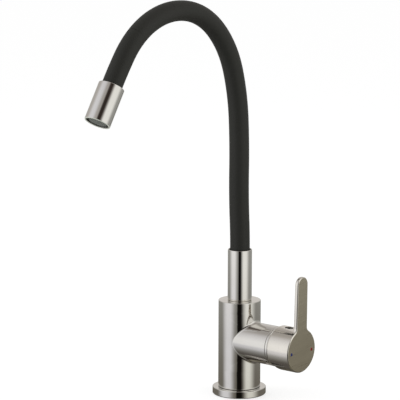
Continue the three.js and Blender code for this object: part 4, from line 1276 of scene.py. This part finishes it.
# what the polished metal sees: panels on a tent. Each fades in over its first two edges and out
# over its last two, in degrees round from the camera (right is plus), given at three heights.
# Heights are in degrees over the tent's middle, for the edges and for the colours
tentHeights = (-17, -4, 31)
tentPanels = {
    "wall": {
        "colours": [
            (-52, "#585450"), (-17, "#747068"), (-7, "#a0a09c"), (14, "#b0b0ac"), (35, "#c0bcb8"),
            (58, "#a8a4a0"),
        ],
    },
    "back": {
        "edges": [(125, 180, 180, 235)] * 3,
        "colours": [
            (-52, "#504c44"), (-17, "#6c685c"), (-7, "#a4a4a0"), (14, "#dcd8d4"), (31, "#ccc8c4"),
            (58, "#a09c98"),
        ],
    },
    "leftBox": {
        "edges": [(-108, -68, -56, -19), (-122, -71, -52, -19), (-112, -71, -57, -27)],
        "colours": [
            (-52, "#7c7c74"), (-32, "#b0b0b0"), (-20, "#e4e4e8"), (-13, "#e8e8ec"), (-6, "#fcfcfc"),
            (14, "#ffffff"), (46, "#e8e8ec"), (58, "#d0d0d0"),
        ],
    },
    "rightBox": {
        "edges": [(14, 42, 50, 98), (10, 36, 58, 104), (14, 38, 69, 111)],
        "colours": [
            (-52, "#6c6858"), (-32, "#a8a498"), (-17, "#e8e8e0"), (-7, "#fcfcf8"), (46, "#fcfcf8"),
            (58, "#d0ccc8"),
        ],
    },
    "cameraGap": {
        "edges": [(-18, -10.5, 6.5, 24), (-20, -9.5, 5, 19), (-24, -9, 6, 30)],
        "colours": [
            (-52, "#38342c"), (-32, "#14120e"), (-7, "#12100e"), (14, "#2c2824"), (46, "#38302c"),
            (58, "#8c8480"),
        ],
    },
}


def makeTent():
    # a light tent round the object that only reflections see: a grey wall with a pale back, a
    # soft box on each side and a dark gap at the camera
    material, tree = newMaterial("lightTent")
    heading = math.radians(studio["camera"]["azimuth"] + studio["camera"]["yaw"])
    place = addNode(tree, "ShaderNodeTexCoord").outputs["Object"]
    parts = addNode(tree, "ShaderNodeSeparateXYZ", {0: place}).outputs
    # angle from the camera's side: arctangent of the rightward and nearward shares
    rightX = addNode(tree, "ShaderNodeMath", {
        0: parts["X"], 1: math.cos(heading),
    }, operation="MULTIPLY").outputs[0]
    right = addNode(tree, "ShaderNodeMath", {
        0: parts["Y"], 1: math.sin(heading), 2: rightX,
    }, operation="MULTIPLY_ADD").outputs[0]
    nearX = addNode(tree, "ShaderNodeMath", {
        0: parts["X"], 1: math.sin(heading),
    }, operation="MULTIPLY").outputs[0]
    near = addNode(tree, "ShaderNodeMath", {
        0: parts["Y"], 1: -math.cos(heading), 2: nearX,
    }, operation="MULTIPLY_ADD").outputs[0]
    turn = addNode(tree, "ShaderNodeMath", {0: right, 1: near}, operation="ARCTAN2").outputs[0]
    turn = addNode(tree, "ShaderNodeMath", {0: turn}, operation="DEGREES").outputs[0]
    away = addNode(tree, "ShaderNodeMath", {0: turn}, operation="ABSOLUTE").outputs[0]
    radius = studio["tentRadius"] * mm
    rise = addNode(tree, "ShaderNodeMath", {0: parts["Z"], 1: radius}, operation="DIVIDE").outputs[0]
    rise = addNode(tree, "ShaderNodeMath", {0: rise}, operation="ARCSINE").outputs[0]
    rise = addNode(tree, "ShaderNodeMath", {0: rise}, operation="DEGREES").outputs[0]
    reach = studio["tentRise"]
    level = addNode(tree, "ShaderNodeMapRange", {
        "Value": rise, "From Min": -reach, "From Max": reach,
    }).outputs["Result"]

    def edgeAt(low, middle, top):
        # an edge's angle, straight from one of the three heights to the next
        lower = addNode(tree, "ShaderNodeMapRange", {
            "Value": rise, "From Min": tentHeights[0], "From Max": tentHeights[1],
            "To Min": low, "To Max": middle,
        }).outputs["Result"]
        upper = addNode(tree, "ShaderNodeMapRange", {
            "Value": rise, "From Min": tentHeights[1], "From Max": tentHeights[2],
            "To Min": 0.0, "To Max": top - middle,
        }).outputs["Result"]
        return addNode(tree, "ShaderNodeMath", {0: lower, 1: upper}, operation="ADD").outputs[0]

    colour = None
    for name, panel in tentPanels.items():
        ramp = addNode(tree, "ShaderNodeValToRGB", {"Fac": level})
        setStops(ramp, [((height + reach) / (2 * reach), shade) for height, shade in panel["colours"]])
        if colour is None:
            colour = ramp.outputs["Color"]
            continue
        angle = away if name == "back" else turn
        edges = [edgeAt(*angles) for angles in zip(*panel["edges"])]
        fadeIn = addNode(tree, "ShaderNodeMapRange", {
            "Value": angle, "From Min": edges[0], "From Max": edges[1],
        }, interpolation_type="SMOOTHSTEP").outputs["Result"]
        fadeOut = addNode(tree, "ShaderNodeMapRange", {
            "Value": angle, "From Min": edges[2], "From Max": edges[3], "To Min": 1.0, "To Max": 0.0,
        }, interpolation_type="SMOOTHSTEP").outputs["Result"]
        share = addNode(tree, "ShaderNodeMath", {0: fadeIn, 1: fadeOut}, operation="MULTIPLY").outputs[0]
        mixed = addNode(tree, "ShaderNodeMix", {"Factor": share}, data_type="RGBA")
        tree.links.new(colour, mixed.inputs["A"])
        tree.links.new(ramp.outputs["Color"], mixed.inputs["B"])
        colour = mixed.outputs["Result"]
    glow = addNode(tree, "ShaderNodeEmission", {"Color": colour, "Strength": 1.0})
    addNode(tree, "ShaderNodeOutputMaterial", {"Surface": glow.outputs["Emission"]})
    bm = bmesh.new()
    bmesh.ops.create_uvsphere(bm, u_segments=96, v_segments=48, radius=radius)
    tent = linkMesh("lightTent", bm)
    tent.data.materials.append(material)
    tent.location.z = studio["tentLevel"]
    for ray in ("camera", "diffuse", "transmission", "volume_scatter", "shadow"):
        setattr(tent, f"visible_{ray}", False)


def addLamp(name, look):
    # a soft square lamp that looks at the body; reflections see the tent instead
    data = bpy.data.lights.new(name, "AREA")
    data.size = look["size"]
    data.energy = look["watts"]
    data.color = hexColour(look["tint"])[:3]
    lamp = bpy.data.objects.new(name, data)
    a, e = math.radians(look["azimuth"]), math.radians(look["elevation"])
    towards = Vector((math.sin(a) * math.cos(e), -math.cos(a) * math.cos(e), math.sin(e)))
    place = Vector(studio["lampTarget"]) + towards * look["distance"]
    facing = towards.to_track_quat("Z", "Y").to_matrix().to_4x4()
    lamp.matrix_world = Matrix.Translation(place) @ facing
    scene.collection.objects.link(lamp)
    lamp.visible_glossy = False


makeFloor()
makeWorld()
makeTent()
for lampName, lampLook in lamps.items():
    addLamp(lampName, lampLook)
scene.view_settings.view_transform = "Standard"
print("studio ready")
